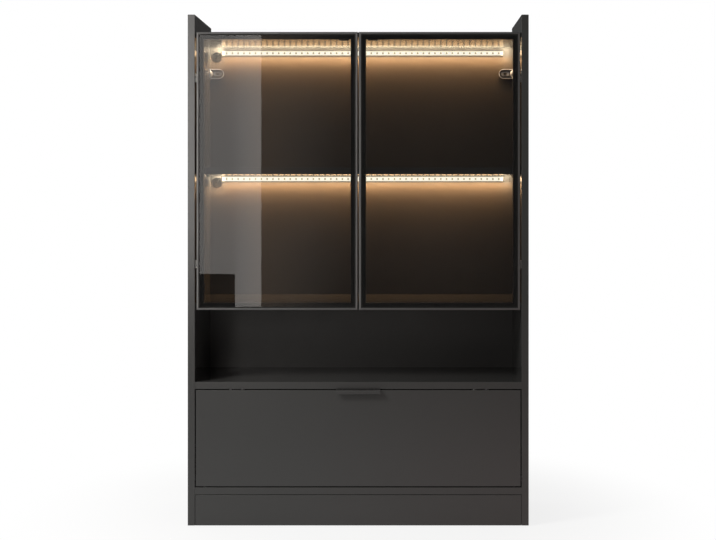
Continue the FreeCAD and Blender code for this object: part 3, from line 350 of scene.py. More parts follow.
# %% Boxes of the solids in a node
def solids_in(node_name):
    """Lowest and highest corners of each separate solid, as two arrays of rows."""
    mesh = frame["nodes"][node_name].data
    points = np.empty(len(mesh.vertices) * 3)
    mesh.vertices.foreach_get("co", points)
    points = points.reshape(-1, 3)
    corners = np.empty(len(mesh.loops), dtype=np.int64)
    mesh.loops.foreach_get("vertex_index", corners)
    _, merged = np.unique(np.round(points, 6), axis=0, return_inverse=True)
    merged = merged.ravel()
    triangles = merged[corners].reshape(-1, 3)
    label = np.arange(merged.max() + 1)
    while True:
        lowest = label[triangles].min(axis=1)
        smaller = label.copy()
        np.minimum.at(smaller, triangles.ravel(), np.repeat(lowest, 3))
        smaller = smaller[smaller]
        if np.array_equal(smaller, label):
            break
        label = smaller
    own = label[merged]
    names = np.unique(own)
    low = np.array([points[own == name].min(axis=0) for name in names])
    high = np.array([points[own == name].max(axis=0) for name in names])
    return low, high


bar_low, bar_high = solids_in("light_channels")
back_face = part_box("display_back")[0].y
print(len(bar_low), "light bars at heights", np.round(bar_low[:, 2], 3))

# %% [markdown]
# ## Warm light along the bars
# Each bar washes the back board below it: the glow is strongest just under the bar and
# has faded within a hand's width. A long lamp a finger's width in front of the board,
# shining down, fades in the same way. Other lamps stand for the light that a bar sheds
# along its edges: close under it, up from its top, up in front of it, and past both
# ends. Real lamps also light the shelf, the floor and the fittings, which a painted glow
# could not.

# %% Bar lamps
WASH_LIGHT, NEAR_LIGHT = (1.0, 0.56, 0.25), (1.0, 0.83, 0.58)
WASH_POWER, WASH_WIDTH, WASH_OFFSET = 6.2, 0.006, 0.021
NEAR_POWER, NEAR_WIDTH, NEAR_OFFSET = 0.36, 0.004, 0.006
UP_POWER, UP_WIDTH = 0.8, 0.004
FORE_POWER, FORE_WIDTH, FORE_OFFSET = 7.5, 0.07, 0.043
END_POWER, END_SIZE = {-1: 0.42, 1: 0.32}, (0.02, 0.02)
END_LIFT, END_OFFSET = 0.002, 0.03
LAMP_CLEAR, SIDE_CLEAR = 0.001, 0.006

left_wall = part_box("left_side_panel")[1].x + SIDE_CLEAR
right_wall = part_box("right_side_panel")[0].x - SIDE_CLEAR
for number, (low, high) in enumerate(zip(bar_low, bar_high)):
    size = (right_wall - left_wall, WASH_WIDTH)
    place = ((left_wall + right_wall) / 2, back_face - WASH_OFFSET, low[2])
    lamp(f"bar_wash_{number}", size, WASH_POWER, WASH_LIGHT, place, (0, 0, -1), False)
    length, middle = high[0] - low[0], (low[0] + high[0]) / 2
    under, over = low[2] - LAMP_CLEAR, high[2] + LAMP_CLEAR
    for kind, power, width, depth, height, aim in (
        ("near", NEAR_POWER, NEAR_WIDTH, back_face - NEAR_OFFSET, under, (0, 0.4, -1)),
        ("up", UP_POWER, UP_WIDTH, low[1] + UP_WIDTH / 2, over, (0, 0.35, 1)),
        ("fore", FORE_POWER, FORE_WIDTH, low[1] - FORE_OFFSET, over, (0, 0, 1)),
    ):
        size, place = (length, width), (middle, depth, height)
        lamp(f"bar_{kind}_{number}", size, power, NEAR_LIGHT, place, aim, False)
    for end, outward in ((low[0], -1), (high[0], 1)):
        name, power = f"bar_end_{number}_{outward}", END_POWER[outward]
        place = (end + outward * END_LIFT, back_face - END_OFFSET, high[2])
        aim = (outward, 0.6, -0.2)
        lamp(name, END_SIZE, power, NEAR_LIGHT, place, aim, False)
print("bar lamps", sum(light.name.startswith("bar_") for light in bpy.data.lights))

# %% [markdown]
# ## Effects that several finishes share
# Lacquer, foil, coat and moulded plastic all have a skin: a fine unevenness that breaks
# up the gloss, and a slow drift of tone. Brushed and drawn metal have fine streaks
# along the work. Arrises are painted a little lighter than the faces, partly as rubbing
# wear and partly as a painted highlight. Each is a node group, built once, that gives
# out only values which change over the surface.

# %% Node groups
DRIFT, PATCHES, MOTTLE, COARSE_STREAKS = 2.3, 11.0, 95.0, 130.0
FINE_SHARE = 0.35
RUB_PATCHES, RUB_EDGES = 34.0, (0.35, 0.7)
ARRIS_EDGES = (0.995, 0.86)


def new_group(name, inputs, outputs):
    """Empty node group with named sockets; returns it and its input and output nodes."""
    group = bpy.data.node_groups.new(name, "ShaderNodeTree")
    for label, value in inputs.items():
        kind = "NodeSocketVector" if label == "Vector" else "NodeSocketFloat"
        socket = group.interface.new_socket(label, in_out="INPUT", socket_type=kind)
        if value is not None:
            socket.default_value = value
    for label in outputs:
        group.interface.new_socket(label, in_out="OUTPUT", socket_type="NodeSocketFloat")
    return group, group.nodes.new("NodeGroupInput"), group.nodes.new("NodeGroupOutput")


def noise(tree, vector, scale, detail=2.0, rough=0.5):
    """Cloudy value about one half; the scale is in clouds per metre."""
    sockets = {"Vector": vector, "Scale": scale, "Detail": detail, "Roughness": rough}
    return add(tree, "TexNoise", sockets).outputs["Fac"]


def make_skin_group():
    """Skin of a coat: a slow drift of Tone, hand-sized patches of Polish, and a peel in Height."""
    inputs, outputs = {"Vector": None, "Peel": 500.0}, ("Tone", "Polish", "Height")
    group, given, gives = new_group("coat_skin", inputs, outputs)
    vector = given.outputs["Vector"]
    drift = noise(group, vector, DRIFT, 3.0)
    mottle = noise(group, vector, MOTTLE, 4.0, 0.6)
    group.links.new(blend_values(group, FINE_SHARE, drift, mottle), gives.inputs["Tone"])
    group.links.new(noise(group, vector, PATCHES, 5.0, 0.65), gives.inputs["Polish"])
    group.links.new(noise(group, vector, given.outputs["Peel"]), gives.inputs["Height"])
    return group


def make_streak_group():
    """Fine streaks: cloudy noise on coordinates that the material has stretched."""
    inputs, outputs = {"Vector": None, "Fineness": 900.0}, ("Tone", "Height")
    group, given, gives = new_group("drawn_streaks", inputs, outputs)
    vector = given.outputs["Vector"]
    fine = noise(group, vector, given.outputs["Fineness"], 3.0, 0.7)
    coarse = noise(group, vector, COARSE_STREAKS)
    group.links.new(blend_values(group, FINE_SHARE, fine, coarse), gives.inputs["Tone"])
    group.links.new(fine, gives.inputs["Height"])
    return group


def make_arris_group():
    """Mask of the arrises that are painted paler, as wear and as a painted highlight: where a
    rounded normal leans away from the true one, in patches.
    """
    group, given, gives = new_group("arrises_worn_and_highlit", {"Vector": None, "Reach": 0.0015}, ("Mask",))
    rounded = add(group, "Bevel", {"Radius": given.outputs["Reach"]}, samples=4).outputs["Normal"]
    true = add(group, "NewGeometry").outputs["Normal"]
    both = add(group, "VectorMath", {0: rounded, 1: true}, operation="DOT_PRODUCT")
    edge = ramp(group, both.outputs["Value"], *ARRIS_EDGES)
    patches = noise(group, given.outputs["Vector"], RUB_PATCHES, 5.0, 0.7)
    mask = product(group, edge, ramp(group, patches, *RUB_EDGES))
    group.links.new(mask, gives.inputs["Mask"])
    return group


skin_group, streak_group, arris_wear_highlight_group = make_skin_group(), make_streak_group(), make_arris_group()
print("node groups", [g.name for g in (skin_group, streak_group, arris_wear_highlight_group)])

# %% [markdown]
# Every finish starts in the same way: a Principled shader, an output and the piece's own
# coordinates. A small class keeps these together, so that a finish reads as what is
# special about it.


# %% Starting a finish
class Finish:
    """Material with a Principled shader, its object coordinates and ways to use the groups."""

    def __init__(self, name, **sockets):
        self.material = bpy.data.materials.new(name)
        self.material.use_nodes = True
        self.tree = self.material.node_tree
        self.tree.nodes.clear()
        plain = {key.replace("_", " "): value for key, value in sockets.items()}
        self.shader = add(self.tree, "BsdfPrincipled", plain)
        add(self.tree, "OutputMaterial", {"Surface": self.shader.outputs[0]})
        self.place = add(self.tree, "TexCoord").outputs["Object"]

    def group(self, group, **values):
        """Outputs of a node group placed in this material."""
        made = self.tree.nodes.new("ShaderNodeGroup")
        made.node_tree = group
        self.tree.links.new(values.pop("Vector", self.place), made.inputs["Vector"])
        for key, value in values.items():
            made.inputs[key].default_value = value
        return made.outputs

    def axis(self, name):
        """One of the object coordinates."""
        return add(self.tree, "SeparateXYZ", {0: self.place}).outputs[name]

    def stretched(self, scale):
        """Object coordinates scaled on each axis; a pattern draws out along the small ones."""
        return add(self.tree, "Mapping", {"Vector": self.place, "Scale": scale}).outputs[0]

    def broad_faces(self):
        """Mask of the faces that look up, down or sideways, and not to the front or the back."""
        facing = add(self.tree, "TexCoord").outputs["Normal"]
        along_y = add(self.tree, "SeparateXYZ", {0: facing}).outputs["Y"]
        return ramp(self.tree, arithmetic(self.tree, "ABSOLUTE", along_y), 0.7, 0.3)

    def connect(self, socket, value):
        self.tree.links.new(value, self.shader.inputs[socket])

    def bump(self, height, depth, strength=0.1):
        """Raises the surface by a height value; depth is the full height in metres."""
        sockets = {"Height": height, "Strength": strength, "Distance": depth}
        self.connect("Normal", add(self.tree, "Bump", sockets).outputs["Normal"])


# %% [markdown]
# ## Lacquered boards and other coats
# The boards are fibreboard sprayed with a dark grey satin lacquer. Up close the spray
# leaves a faint orange peel, the sheen drifts over a large panel, and the arrises are a
# little paler: partly wear where the coat is thin, partly a painted highlight. A flat grey
# would look like paper, so tone, roughness and bump each get their own scale. The level
# faces and the sides are rubbed to a closer polish than the fronts, and mirror the light
# bars as streaks. Foil, nylon, rubber and plating are the same recipe with other numbers.

# %% Lacquer, foil and coats
EDGE_GAIN, EDGE_LIFT = 1.9, 0.01


def coated(name, dark, pale, polish, peel, lift, wear_and_highlight, rubbed=1.0, shine=0.5):
    """Sprayed or moulded coat between two tones, with arrises painted paler as wear and painted
    highlight; broad faces may be rubbed to a closer polish.
    """
    finish = Finish(name, Specular_IOR_Level=shine)
    tree = finish.tree
    skin = finish.group(skin_group, Peel=peel)
    arris = finish.group(arris_wear_highlight_group)["Mask"]
    body = blend_colours(tree, spread(tree, skin["Tone"]), rgba(*dark), rgba(*pale))
    # painted highlight and wear: the arrises are blended to a paler tone
    worn_highlit = rgba(*(min(1.0, EDGE_GAIN * v + EDGE_LIFT) for v in pale))
    finish.connect("Base Color", blend_colours(tree, product(tree, arris, wear_and_highlight), body, worn_highlit))
    sheen = spread(tree, skin["Polish"], *polish)
    closer = blend_values(tree, finish.broad_faces(), 1.0, rubbed)
    finish.connect("Roughness", product(tree, sheen, closer))
    finish.bump(skin["Height"], lift)
    return finish.material


LACQUER = {
    "dark": (0.0385, 0.0378, 0.0362), "pale": (0.041, 0.0402, 0.0385),
    "polish": (0.28, 0.31), "peel": 420.0, "lift": 0.000006, "wear_and_highlight": 0.3,
}
lacquer = coated("grey_lacquer", **LACQUER, rubbed=0.5)
satin = coated("satin_lacquer", **LACQUER, rubbed=0.85)
foil = coated(
    "brown_grey_foil", (0.041, 0.0375, 0.0345), (0.047, 0.043, 0.0395),
    polish=(0.42, 0.52), peel=600.0, lift=0.00004, wear_and_highlight=0.1,
)
pull_coat = coated(
    "pull_coat", (0.036, 0.035, 0.034), (0.042, 0.041, 0.039),
    polish=(0.38, 0.5), peel=1400.0, lift=0.0004, wear_and_highlight=0.4,
)
black_nylon = coated(
    "black_nylon", (0.014, 0.014, 0.014), (0.02, 0.02, 0.02),
    polish=(0.45, 0.62), peel=1100.0, lift=0.0005, wear_and_highlight=0.25,
)
rubber = coated(
    "black_rubber", (0.018, 0.0172, 0.016), (0.023, 0.022, 0.0205),
    polish=(0.6, 0.8), peel=700.0, lift=0.0005, wear_and_highlight=0.1, shine=0.1,
)
grommet_plastic = coated(
    "grommet_plastic", (0.13, 0.125, 0.12), (0.17, 0.165, 0.16),
    polish=(0.4, 0.55), peel=900.0, lift=0.0004, wear_and_highlight=0.3,
)
sheath = coated(
    "lead_sheath", (0.012, 0.0115, 0.0105), (0.018, 0.017, 0.0155),
    polish=(0.45, 0.6), peel=600.0, lift=0.0004, wear_and_highlight=0.1, shine=0.2,
)
knob_coat = coated(
    "knob_coat", (0.35, 0.39, 0.46), (0.41, 0.455, 0.53),
    polish=(0.25, 0.35), peel=800.0, lift=0.0002, wear_and_highlight=0.2,
)
bright_zinc = coated(
    "bright_zinc", (0.7, 0.7, 0.69), (0.8, 0.8, 0.79),
    polish=(0.25, 0.4), peel=900.0, lift=0.0002, wear_and_highlight=0.3,
)
print("coats", [m.name for m in (lacquer, satin, foil, pull_coat, rubber, sheath)])

# %% [markdown]
# ## Metals
# The door frame is drawn aluminium, anodised dark, and its die leaves hair-fine lines
# along each member: up a stile, across a rail. So the same finish is made twice, with
# coordinates stretched along Z or along X, and the rails' copy is painted darker as
# painted shade. The faces of a member that don't look to the front or the back are
# darkened too, as painted shade. Plated steel and cast zinc follow the same recipe with
# other tones.

# %% Drawn and plated metals
METAL_REACH, METAL_WEAR_HIGHLIGHT, METAL_GAIN = 0.0008, 0.5, 1.5
STREAK_STRENGTH = 0.15


def drawn_metal(name, dark, bright, polish, scale, lift=0.0002, side_shade=1.0):
    """Metal streaked along the small scale's axis; its bright arrises are wear and painted
    highlight, and its darker sides are painted shade.
    """
    finish = Finish(name, Metallic=1.0)
    tree = finish.tree
    streaks = finish.group(streak_group, Vector=finish.stretched(scale))
    skin = finish.group(skin_group)
    arris = finish.group(arris_wear_highlight_group, Reach=METAL_REACH)["Mask"]
    body = blend_colours(tree, spread(tree, streaks["Tone"]), rgba(*dark), rgba(*bright))
    # painted shade: the sides, tops and bottoms of a member are darkened
    if side_shade < 1.0:
        body = dimmed(tree, body, blend_values(tree, finish.broad_faces(), 1.0, side_shade))
    # painted highlight and wear: the arrises are blended to a brighter tone
    worn_highlit = rgba(*(min(1.0, METAL_GAIN * v) for v in bright))
    finish.connect("Base Color", blend_colours(tree, product(tree, arris, METAL_WEAR_HIGHLIGHT), body, worn_highlit))
    finish.connect("Roughness", spread(tree, skin["Polish"], *polish))
    finish.bump(streaks["Height"], lift, STREAK_STRENGTH)
    return finish.material


UPRIGHT, LEVEL, EVEN = (1.0, 1.0, 0.012), (0.012, 1.0, 1.0), (1.0, 1.0, 1.0)
FRAME = {"polish": (0.42, 0.52), "lift": 0.00004, "side_shade": 0.4}
frame_upright = drawn_metal(
    "anodised_upright", (0.165, 0.164, 0.162), (0.195, 0.193, 0.19), scale=UPRIGHT, **FRAME
)
# painted shade: the rails are a darker copy of the same anodised finish
frame_level_shaded = drawn_metal(
    "anodised_level_shaded", (0.12, 0.119, 0.118), (0.145, 0.144, 0.142), scale=LEVEL, **FRAME
)
blued_steel = drawn_metal(
    "blued_steel", (0.04, 0.04, 0.042), (0.06, 0.06, 0.062), (0.35, 0.5), EVEN
)
nickel = drawn_metal("nickel_plate", (0.5, 0.49, 0.47), (0.62, 0.61, 0.585), (0.2, 0.34), EVEN)
bar_metal = drawn_metal("bar_metal", (0.6, 0.59, 0.57), (0.72, 0.71, 0.69), (0.28, 0.4), LEVEL)
zinc = drawn_metal(
    "cast_zinc", (0.3, 0.3, 0.31), (0.42, 0.42, 0.43), (0.4, 0.6), EVEN, lift=0.0006
)
magnet = drawn_metal("magnet_plate", (0.34, 0.34, 0.35), (0.42, 0.42, 0.43), (0.3, 0.42), EVEN)
print("metals", [m.name for m in (frame_upright, frame_level_shaded, nickel, bar_metal, zinc, magnet)])

# %% [markdown]
# ## Glass
# A door pane is a real 4 mm slab in the construction model, so a plain transmission
# shader refracts and mirrors on both faces, as float glass does. Float glass isn't
# perfectly flat: a very low, slow bump lets straight reflections waver a little.

# %% Glass
PANE_DRIFT, PANE_WAVES = 3.0, 1.6
PANE_TINTS = (rgba(0.90, 0.905, 0.895), rgba(0.93, 0.935, 0.925))


def make_glass():
    """Clear slab with a tint that drifts and faces that waver."""
    finish = Finish("door_glass", Transmission_Weight=1.0, Roughness=0.0, IOR=1.5)
    tree = finish.tree
    drift = spread(tree, noise(tree, finish.place, PANE_DRIFT))
    finish.connect("Base Color", blend_colours(tree, drift, *PANE_TINTS))
    finish.bump(noise(tree, finish.place, PANE_WAVES, 1.0), 0.001, 0.02)
    return finish.material


glass = make_glass()
print("glass", glass.name)

# %% [markdown]
# ## The light bars
# A lit diffuser is brightest between the chips of its strip here, and each chip shows
# as a small darker spot. The spots follow from the distance to the nearest chip: the
# place along the bar, wrapped at the chips' pitch, and the height, wrapped at the step
# from one bar to the next. The camera's film would clip at the true brightness of a
# lamp, so for the camera the cover is about white and dims to its edges, and for every
# other ray it is the warm lamp that it really is.

# %% Chip pitch, from the model
chip_low, chip_high = solids_in("light_chips")
chip_middles = np.sort(np.unique(np.round((chip_low[:, 0] + chip_high[:, 0]) / 2, 5)))
CHIP_PITCH = float(np.diff(chip_middles).mean())
FIRST_CHIP = float(chip_middles[0])
bar_middles = (bar_low[:, 2] + bar_high[:, 2]) / 2
BAR_MIDDLE = float(bar_middles[0])
BAR_STEP = float(np.ptp(bar_middles))
print(len(chip_low), "chips, one every", round(CHIP_PITCH * 1000, 2), "mm")


# %% Distances from the chips
def to_nearest(tree, value, first, pitch):
    """Distance to the nearest of first, first + pitch and so on, by wrapping at the pitch."""
    shifted = arithmetic(tree, "SUBTRACT", value, first - pitch / 2)
    wrapped = add(tree, "Math", {0: shifted, 1: pitch, 2: 0.0}, operation="WRAP").outputs[0]
    return arithmetic(tree, "ABSOLUTE", arithmetic(tree, "SUBTRACT", wrapped, pitch / 2))


def chip_distance(finish):
    """Distances from the nearest chip's middle: along the bar, up or down, and straight."""
    tree = finish.tree
    along = to_nearest(tree, finish.axis("X"), FIRST_CHIP, CHIP_PITCH)
    up = to_nearest(tree, finish.axis("Z"), BAR_MIDDLE, BAR_STEP)
    squares = [product(tree, value, value) for value in (along, up)]
    return along, up, arithmetic(tree, "SQRT", arithmetic(tree, "ADD", *squares))


# %% Cover, strip and chip finishes
SPOT_EDGES, BAND_EDGES, RIM_EDGES = (0.0022, 0.0054), (0.0018, 0.0042), (0.005, 0.009)
RIM_DIMS = 0.6
PAD_EDGES = (0.0045, 0.0055)


def make_cover():
    """Opal cover: dark spots at the chips for the camera, dark bands at them for the room."""
    finish = Finish("lit_cover", Roughness=0.4, Emission_Strength=1.0)
    tree = finish.tree
    along, up, straight = chip_distance(finish)
    spot = ramp(tree, straight, *SPOT_EDGES, 1.0, 0.0)
    band = ramp(tree, along, *BAND_EDGES, 1.0, 0.0)
    rim = ramp(tree, up, *RIM_EDGES, 0.0, RIM_DIMS)
    cloudy = spread(tree, noise(tree, finish.place, 60.0, 3.0), 0.94, 1.0)
    to_eye = blend_colours(tree, spot, rgba(1.18, 1.11, 0.93), rgba(0.2, 0.17, 0.14))
    to_eye = blend_colours(tree, rim, to_eye, rgba(0.3, 0.26, 0.2))
    to_room = blend_colours(tree, band, rgba(3.0, 1.85, 0.9), rgba(0.1, 0.05, 0.02))
    glow = blend_colours(tree, seen_straight(tree, add(tree, "LightPath").outputs), to_room, to_eye)
    finish.connect("Emission Color", dimmed(tree, glow, cloudy))
    opal = blend_colours(tree, cloudy, rgba(0.36, 0.345, 0.30), rgba(0.42, 0.40, 0.35))
    finish.connect("Base Color", opal)
    return finish.material


def make_strip():
    """White strip with a copper pad on each side of every chip."""
    finish = Finish("white_strip", Roughness=0.45)
    tree = finish.tree
    pad = ramp(tree, chip_distance(finish)[0], *PAD_EDGES, 1.0, 0.0)
    copper = blend_colours(tree, pad, rgba(0.82, 0.8, 0.76), rgba(0.62, 0.34, 0.17))
    finish.connect("Base Color", copper)
    finish.connect("Metallic", product(tree, pad, 0.7))
    finish.bump(noise(tree, finish.place, 800.0), 0.0003)
    return finish.material


def make_chip():
    """Grainy yellow phosphor that glows."""
    finish = Finish("light_chip", Roughness=0.35, Emission_Strength=2.0)
    tree = finish.tree
    grain = spread(tree, noise(tree, finish.place, 1500.0, 3.0))
    phosphor = blend_colours(tree, grain, rgba(0.85, 0.62, 0.12), rgba(0.95, 0.76, 0.25))
    glow = blend_colours(tree, grain, rgba(1.0, 0.6, 0.25), rgba(1.0, 0.7, 0.35))
    finish.connect("Base Color", phosphor)
    finish.connect("Emission Color", glow)
    finish.bump(grain, 0.0002)
    return finish.material


cover, strip, chip = make_cover(), make_strip(), make_chip()
print("lit pieces", [m.name for m in (cover, strip, chip)])

# %% [markdown]
# ## Wood and pressed steel
# Two finishes follow the shape of their pieces. The dowels are raw beech, whose grain
# runs along them. The wall brackets are pressed from plated steel: the sunk plate is
# painted dark as painted shade and the raised pad and rim pale as a painted highlight,
# so the tone follows the height above the back board.

# %% Beech and bracket finishes
BEECH_GRAIN = (0.04, 1.0, 1.0)
PLATE_HEIGHT, RIM_HEIGHT = 0.002, 0.008


def make_beech():
    """Pale wood whose grain runs along the dowels, which lie along X."""
    finish = Finish("raw_beech", Roughness=0.6)
    tree = finish.tree
    fibres = noise(tree, finish.stretched(BEECH_GRAIN), 700.0, 5.0, 0.6)
    wood = blend_colours(tree, spread(tree, fibres), rgba(0.42, 0.27, 0.15), rgba(0.6, 0.42, 0.26))
    finish.connect("Base Color", wood)
    finish.bump(fibres, 0.0004, 0.25)
    return finish.material


def make_shaded_bracket():
    """Pressed steel: painted shade on the sunk plate, a painted highlight on the pad and the rim.
    """
    finish = Finish("bracket_painted_shade", Roughness=0.4)
    tree = finish.tree
    heights = (back_face - PLATE_HEIGHT, back_face - RIM_HEIGHT)
    # painted shade and highlight: dark on the sunk plate, pale on the raised pad and rim
    raised_highlit = ramp(tree, finish.axis("Y"), *heights, kind="LINEAR")
    tone = blend_colours(tree, raised_highlit, rgba(0.045, 0.048, 0.055), rgba(0.31, 0.35, 0.43))
    cloudy = spread(tree, noise(tree, finish.place, 260.0, 4.0, 0.6), 0.9, 1.0)
    finish.connect("Base Color", dimmed(tree, tone, cloudy))
    finish.bump(finish.group(skin_group, Peel=800.0)["Height"], 0.0002)
    return finish.material


beech, bracket_shade_coat = make_beech(), make_shaded_bracket()
print(beech.name, bracket_shade_coat.name)

# %% [markdown]
# ## Every piece of the model gets its finish
# The record that comes with the model says which finish each piece has. The rails of
# the door frame are one exception: their streaks run across, not up. A few fittings and
# the two boards that show a softer gloss follow in a list of their own.

# %% Finishes onto the model
finishes = {
    "lacquered_board": lacquer,
    "back_board": foil,
    "frame_metal": frame_upright,
    "door_glass": glass,
    "seal_rubber": rubber,
    "plated_steel": nickel,
    "cast_zinc": zinc,
    "beech": beech,
    "black_nylon": black_nylon,
    "magnet": magnet,
    "pull_metal": pull_coat,
    "bar_metal": bar_metal,
    "bar_cover": cover,
    "light_strip": strip,
    "light_chip": chip,
    "lead_sheath": sheath,
    "grommet_plastic": grommet_plastic,
}
own_finishes = {
    "wall_brackets": bracket_shade_coat,
    "wall_bracket_screws": knob_coat,
    "flap_pivot_pins": blued_steel,
    "stay_guides": black_nylon,
    "top_panel": satin,
    "bottom_panel": satin,
}

for entry in frame["record"]["subparts"]:
    node = entry["node"]
    usual = frame_level_shaded if node.endswith("_rail") else finishes[entry["material_slot"]]
    for place in frame["nodes"][node].material_slots:
        place.material = own_finishes.get(node, usual)

# %% [markdown]
# ## Rings of points, skinned
# A turned piece is a set of rings about one axis. With the points of all rings in one
# array, the faces follow from counting: each point joins its neighbour on the ring and
# the two points above them. Rings that have shrunk to a point are welded afterwards, so
# that the poles close.

# %% Skins over rings of points
WELD = 1e-7
SHARP_ANGLE = math.radians(35.0)


def skin_faces(rings, steps, closed):
    """Quads between each ring and the next; a closed skin joins the last ring to the first."""
    ring = np.arange(rings if closed else rings - 1)[:, None]
    step = np.arange(steps)[None, :]
    here, there = ring * steps, (ring + 1) % rings * steps
    after = (step + 1) % steps
    quads = np.stack([here + step, here + after, there + after, there + step], axis=-1)
    return quads.reshape(-1, 4)


def skinned(name, skins, closed, material):
    """Piece made of skins, each an array of rings by steps by three, with welded poles."""
    _, rings, steps, _ = skins.shape
    shift = np.arange(len(skins))[:, None, None] * rings * steps
    faces = (skin_faces(rings, steps, closed)[None] + shift).reshape(-1, 4)
    mesh = bpy.data.meshes.new(name)
    mesh.from_pydata(skins.reshape(-1, 3).tolist(), [], faces.tolist())
    welded = bmesh.new()
    welded.from_mesh(mesh)
    bmesh.ops.remove_doubles(welded, verts=welded.verts, dist=WELD)
    bmesh.ops.recalc_face_normals(welded, faces=welded.faces)
    welded.to_mesh(mesh)
    welded.free()
    mesh.shade_smooth()
    mesh.set_sharp_from_angle(angle=SHARP_ANGLE)
    mesh.materials.append(material)
    made = bpy.data.objects.new(name, mesh)
    bpy.context.collection.objects.link(made)
    print(name, len(mesh.polygons), "faces")
    return made


# %% [markdown]
# ## Screws with a cross recess
# The driver's recess is what tells a screw from a rivet. Its outline in polar form is
# the larger of two bars laid crosswise: along a bar the radius grows to its end, beside
# it the bar's flank cuts it off. So the first rings follow that cross, the next ones are
# round, and the head runs into the shank in one skin. The places come from the boxes of
# the screws in the construction model.

# %% Outline of the recess
RECESS_LENGTH, RECESS_WIDTH = 0.62, 0.15
RECESS_FLOOR, RECESS_DEPTH = 0.55, 0.36
TURN_STEP = 7.5

corner = math.atan2(RECESS_WIDTH, RECESS_LENGTH)
quarters = np.arange(4)[:, None] * math.pi / 2
recess_corners = (quarters + (corner, math.pi / 2 - corner)).ravel()
even_turns = np.arange(0, 360, TURN_STEP) * math.pi / 180
angles = np.sort(np.concatenate([even_turns, recess_corners]))


def cross_outline(angles):
    """Radius of two crossed bars at each angle: the larger of both bars' own outlines."""
    run = np.maximum(np.abs(np.cos(angles)), 1e-9)
    rise = np.maximum(np.abs(np.sin(angles)), 1e-9)
    level = np.minimum(RECESS_LENGTH / run, RECESS_WIDTH / rise)
    upright = np.minimum(RECESS_WIDTH / run, RECESS_LENGTH / rise)
    return np.maximum(level, upright)


print("recess outline of", len(angles), "points")

# %% Cross-recess screws
HEAD_RINGS = (0.72, 0.86, 0.95)
RIM_SHARE = 0.3
CHAMFER = 0.00015
SCREW_KINDS = (
    (0.018, (0.0034, 0.0, 0.0016)),
    (0.0165, (0.0045, 0.0029, 0.002)),
    (0.0, (0.0042, 0.002, 0.002)),
)


def screw_rings(head, tall, shank, length):
    """Rings of a screw that points down from its seat at zero; a head that isn't tall is sunk."""
    cross = cross_outline(angles) * head
    even = np.ones_like(angles)
    radii = [0 * even, RECESS_FLOOR * cross, cross]
    radii += [share * head * even for share in HEAD_RINGS]
    if tall:
        cap = tall * (1 - RIM_SHARE)
        ball = (head ** 2 + cap ** 2) / (2 * cap)
        heights = [tall - ball + np.sqrt(ball ** 2 - radius ** 2) for radius in radii]
        lower = [(head, tall - cap), (head, 0), (shank, 0)]
    else:
        heights = [0 * even for radius in radii]
        lower = [(head - CHAMFER, 0), (head, -CHAMFER), (shank, shank - head)]
    lower += [(shank, shank / 2 - length), (shank / 2, -length), (0, -length)]
    depth = RECESS_DEPTH * head
    heights[0], heights[1] = heights[0] - depth, heights[1] - depth
    radii += [radius * even for radius, _ in lower]
    heights += [height * even for _, height in lower]
    radius, height = np.array(radii), np.array(heights)
    return np.stack([radius * np.cos(angles), radius * np.sin(angles), height], axis=-1)


def screw_kind(whole):
    """Head radius, head height and shank radius, by the least length of each kind."""
    return next(kind for least, kind in SCREW_KINDS if whole > least)


def screw_skins(node_name):
    """Rings of each screw in a node, where its box lies, with the head on the side it shows on."""
    skins = []
    for low, high in zip(*solids_in(node_name)):
        axis = int(np.argmax(high - low))
        whole = float((high - low)[axis])
        head, tall, shank = screw_kind(whole)
        side = -1.0 if axis == 0 and low[0] > 0 else 1.0
        middle = (low + high) / 2
        middle[axis] = (high if side > 0 else low)[axis] - side * tall
        local = screw_rings(head, tall, shank, whole - tall)
        turned = np.roll(local, axis + 1, axis=-1) * np.where(np.arange(3) == axis, side, 1.0)
        skins.append(turned + middle)
    return np.array(skins)


screw_nodes = (("fitting_screws", "carcass", nickel), ("flap_screws", "flap", bright_zinc))
for node, body, finish in screw_nodes:
    screws = skinned("turned_" + node, screw_skins(node), False, finish)
    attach(screws, body)
    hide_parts(node)

# %% [markdown]
# ## Door seals
# The dark border of each door is a flat rubber seal behind the glass. Two faces in the
# very same plane are a trap for a renderer, which can't tell which comes first, so this
# seal keeps a hair's breadth from the pane. It is one section, a flat strip with rounded
# edges and two low ribs, carried round the four corners, where it is mitred: each point
# of the section goes to the corner of a rectangle that lies as far in as the point does.

# %% Seals
SEAL_WIDE, SEAL_CLEAR = 0.017, 0.00012
RIB_HEIGHT, RIB_WIDE, RIBS_AT = 0.00025, 0.0006, (0.3, 0.7)
EDGE_WIDE, EDGE_DROP = 0.0006, 0.0002


def mitred_ring(name, low, high, section, material):
    """Section of inset and depth carried round a box; each row takes a smaller rectangle."""
    inset, depth = section[:, :1], section[:, 1:]
    left, right = low[0] + inset, high[0] - inset
    bottom, top = low[2] + inset, high[2] - inset
    corner_x = np.concatenate([left, right, right, left], axis=1)
    corner_z = np.concatenate([bottom, bottom, top, top], axis=1)
    rings = np.stack([corner_x, low[1] + depth + 0 * corner_x, corner_z], axis=-1)
    return skinned(name, rings[None], True, material)


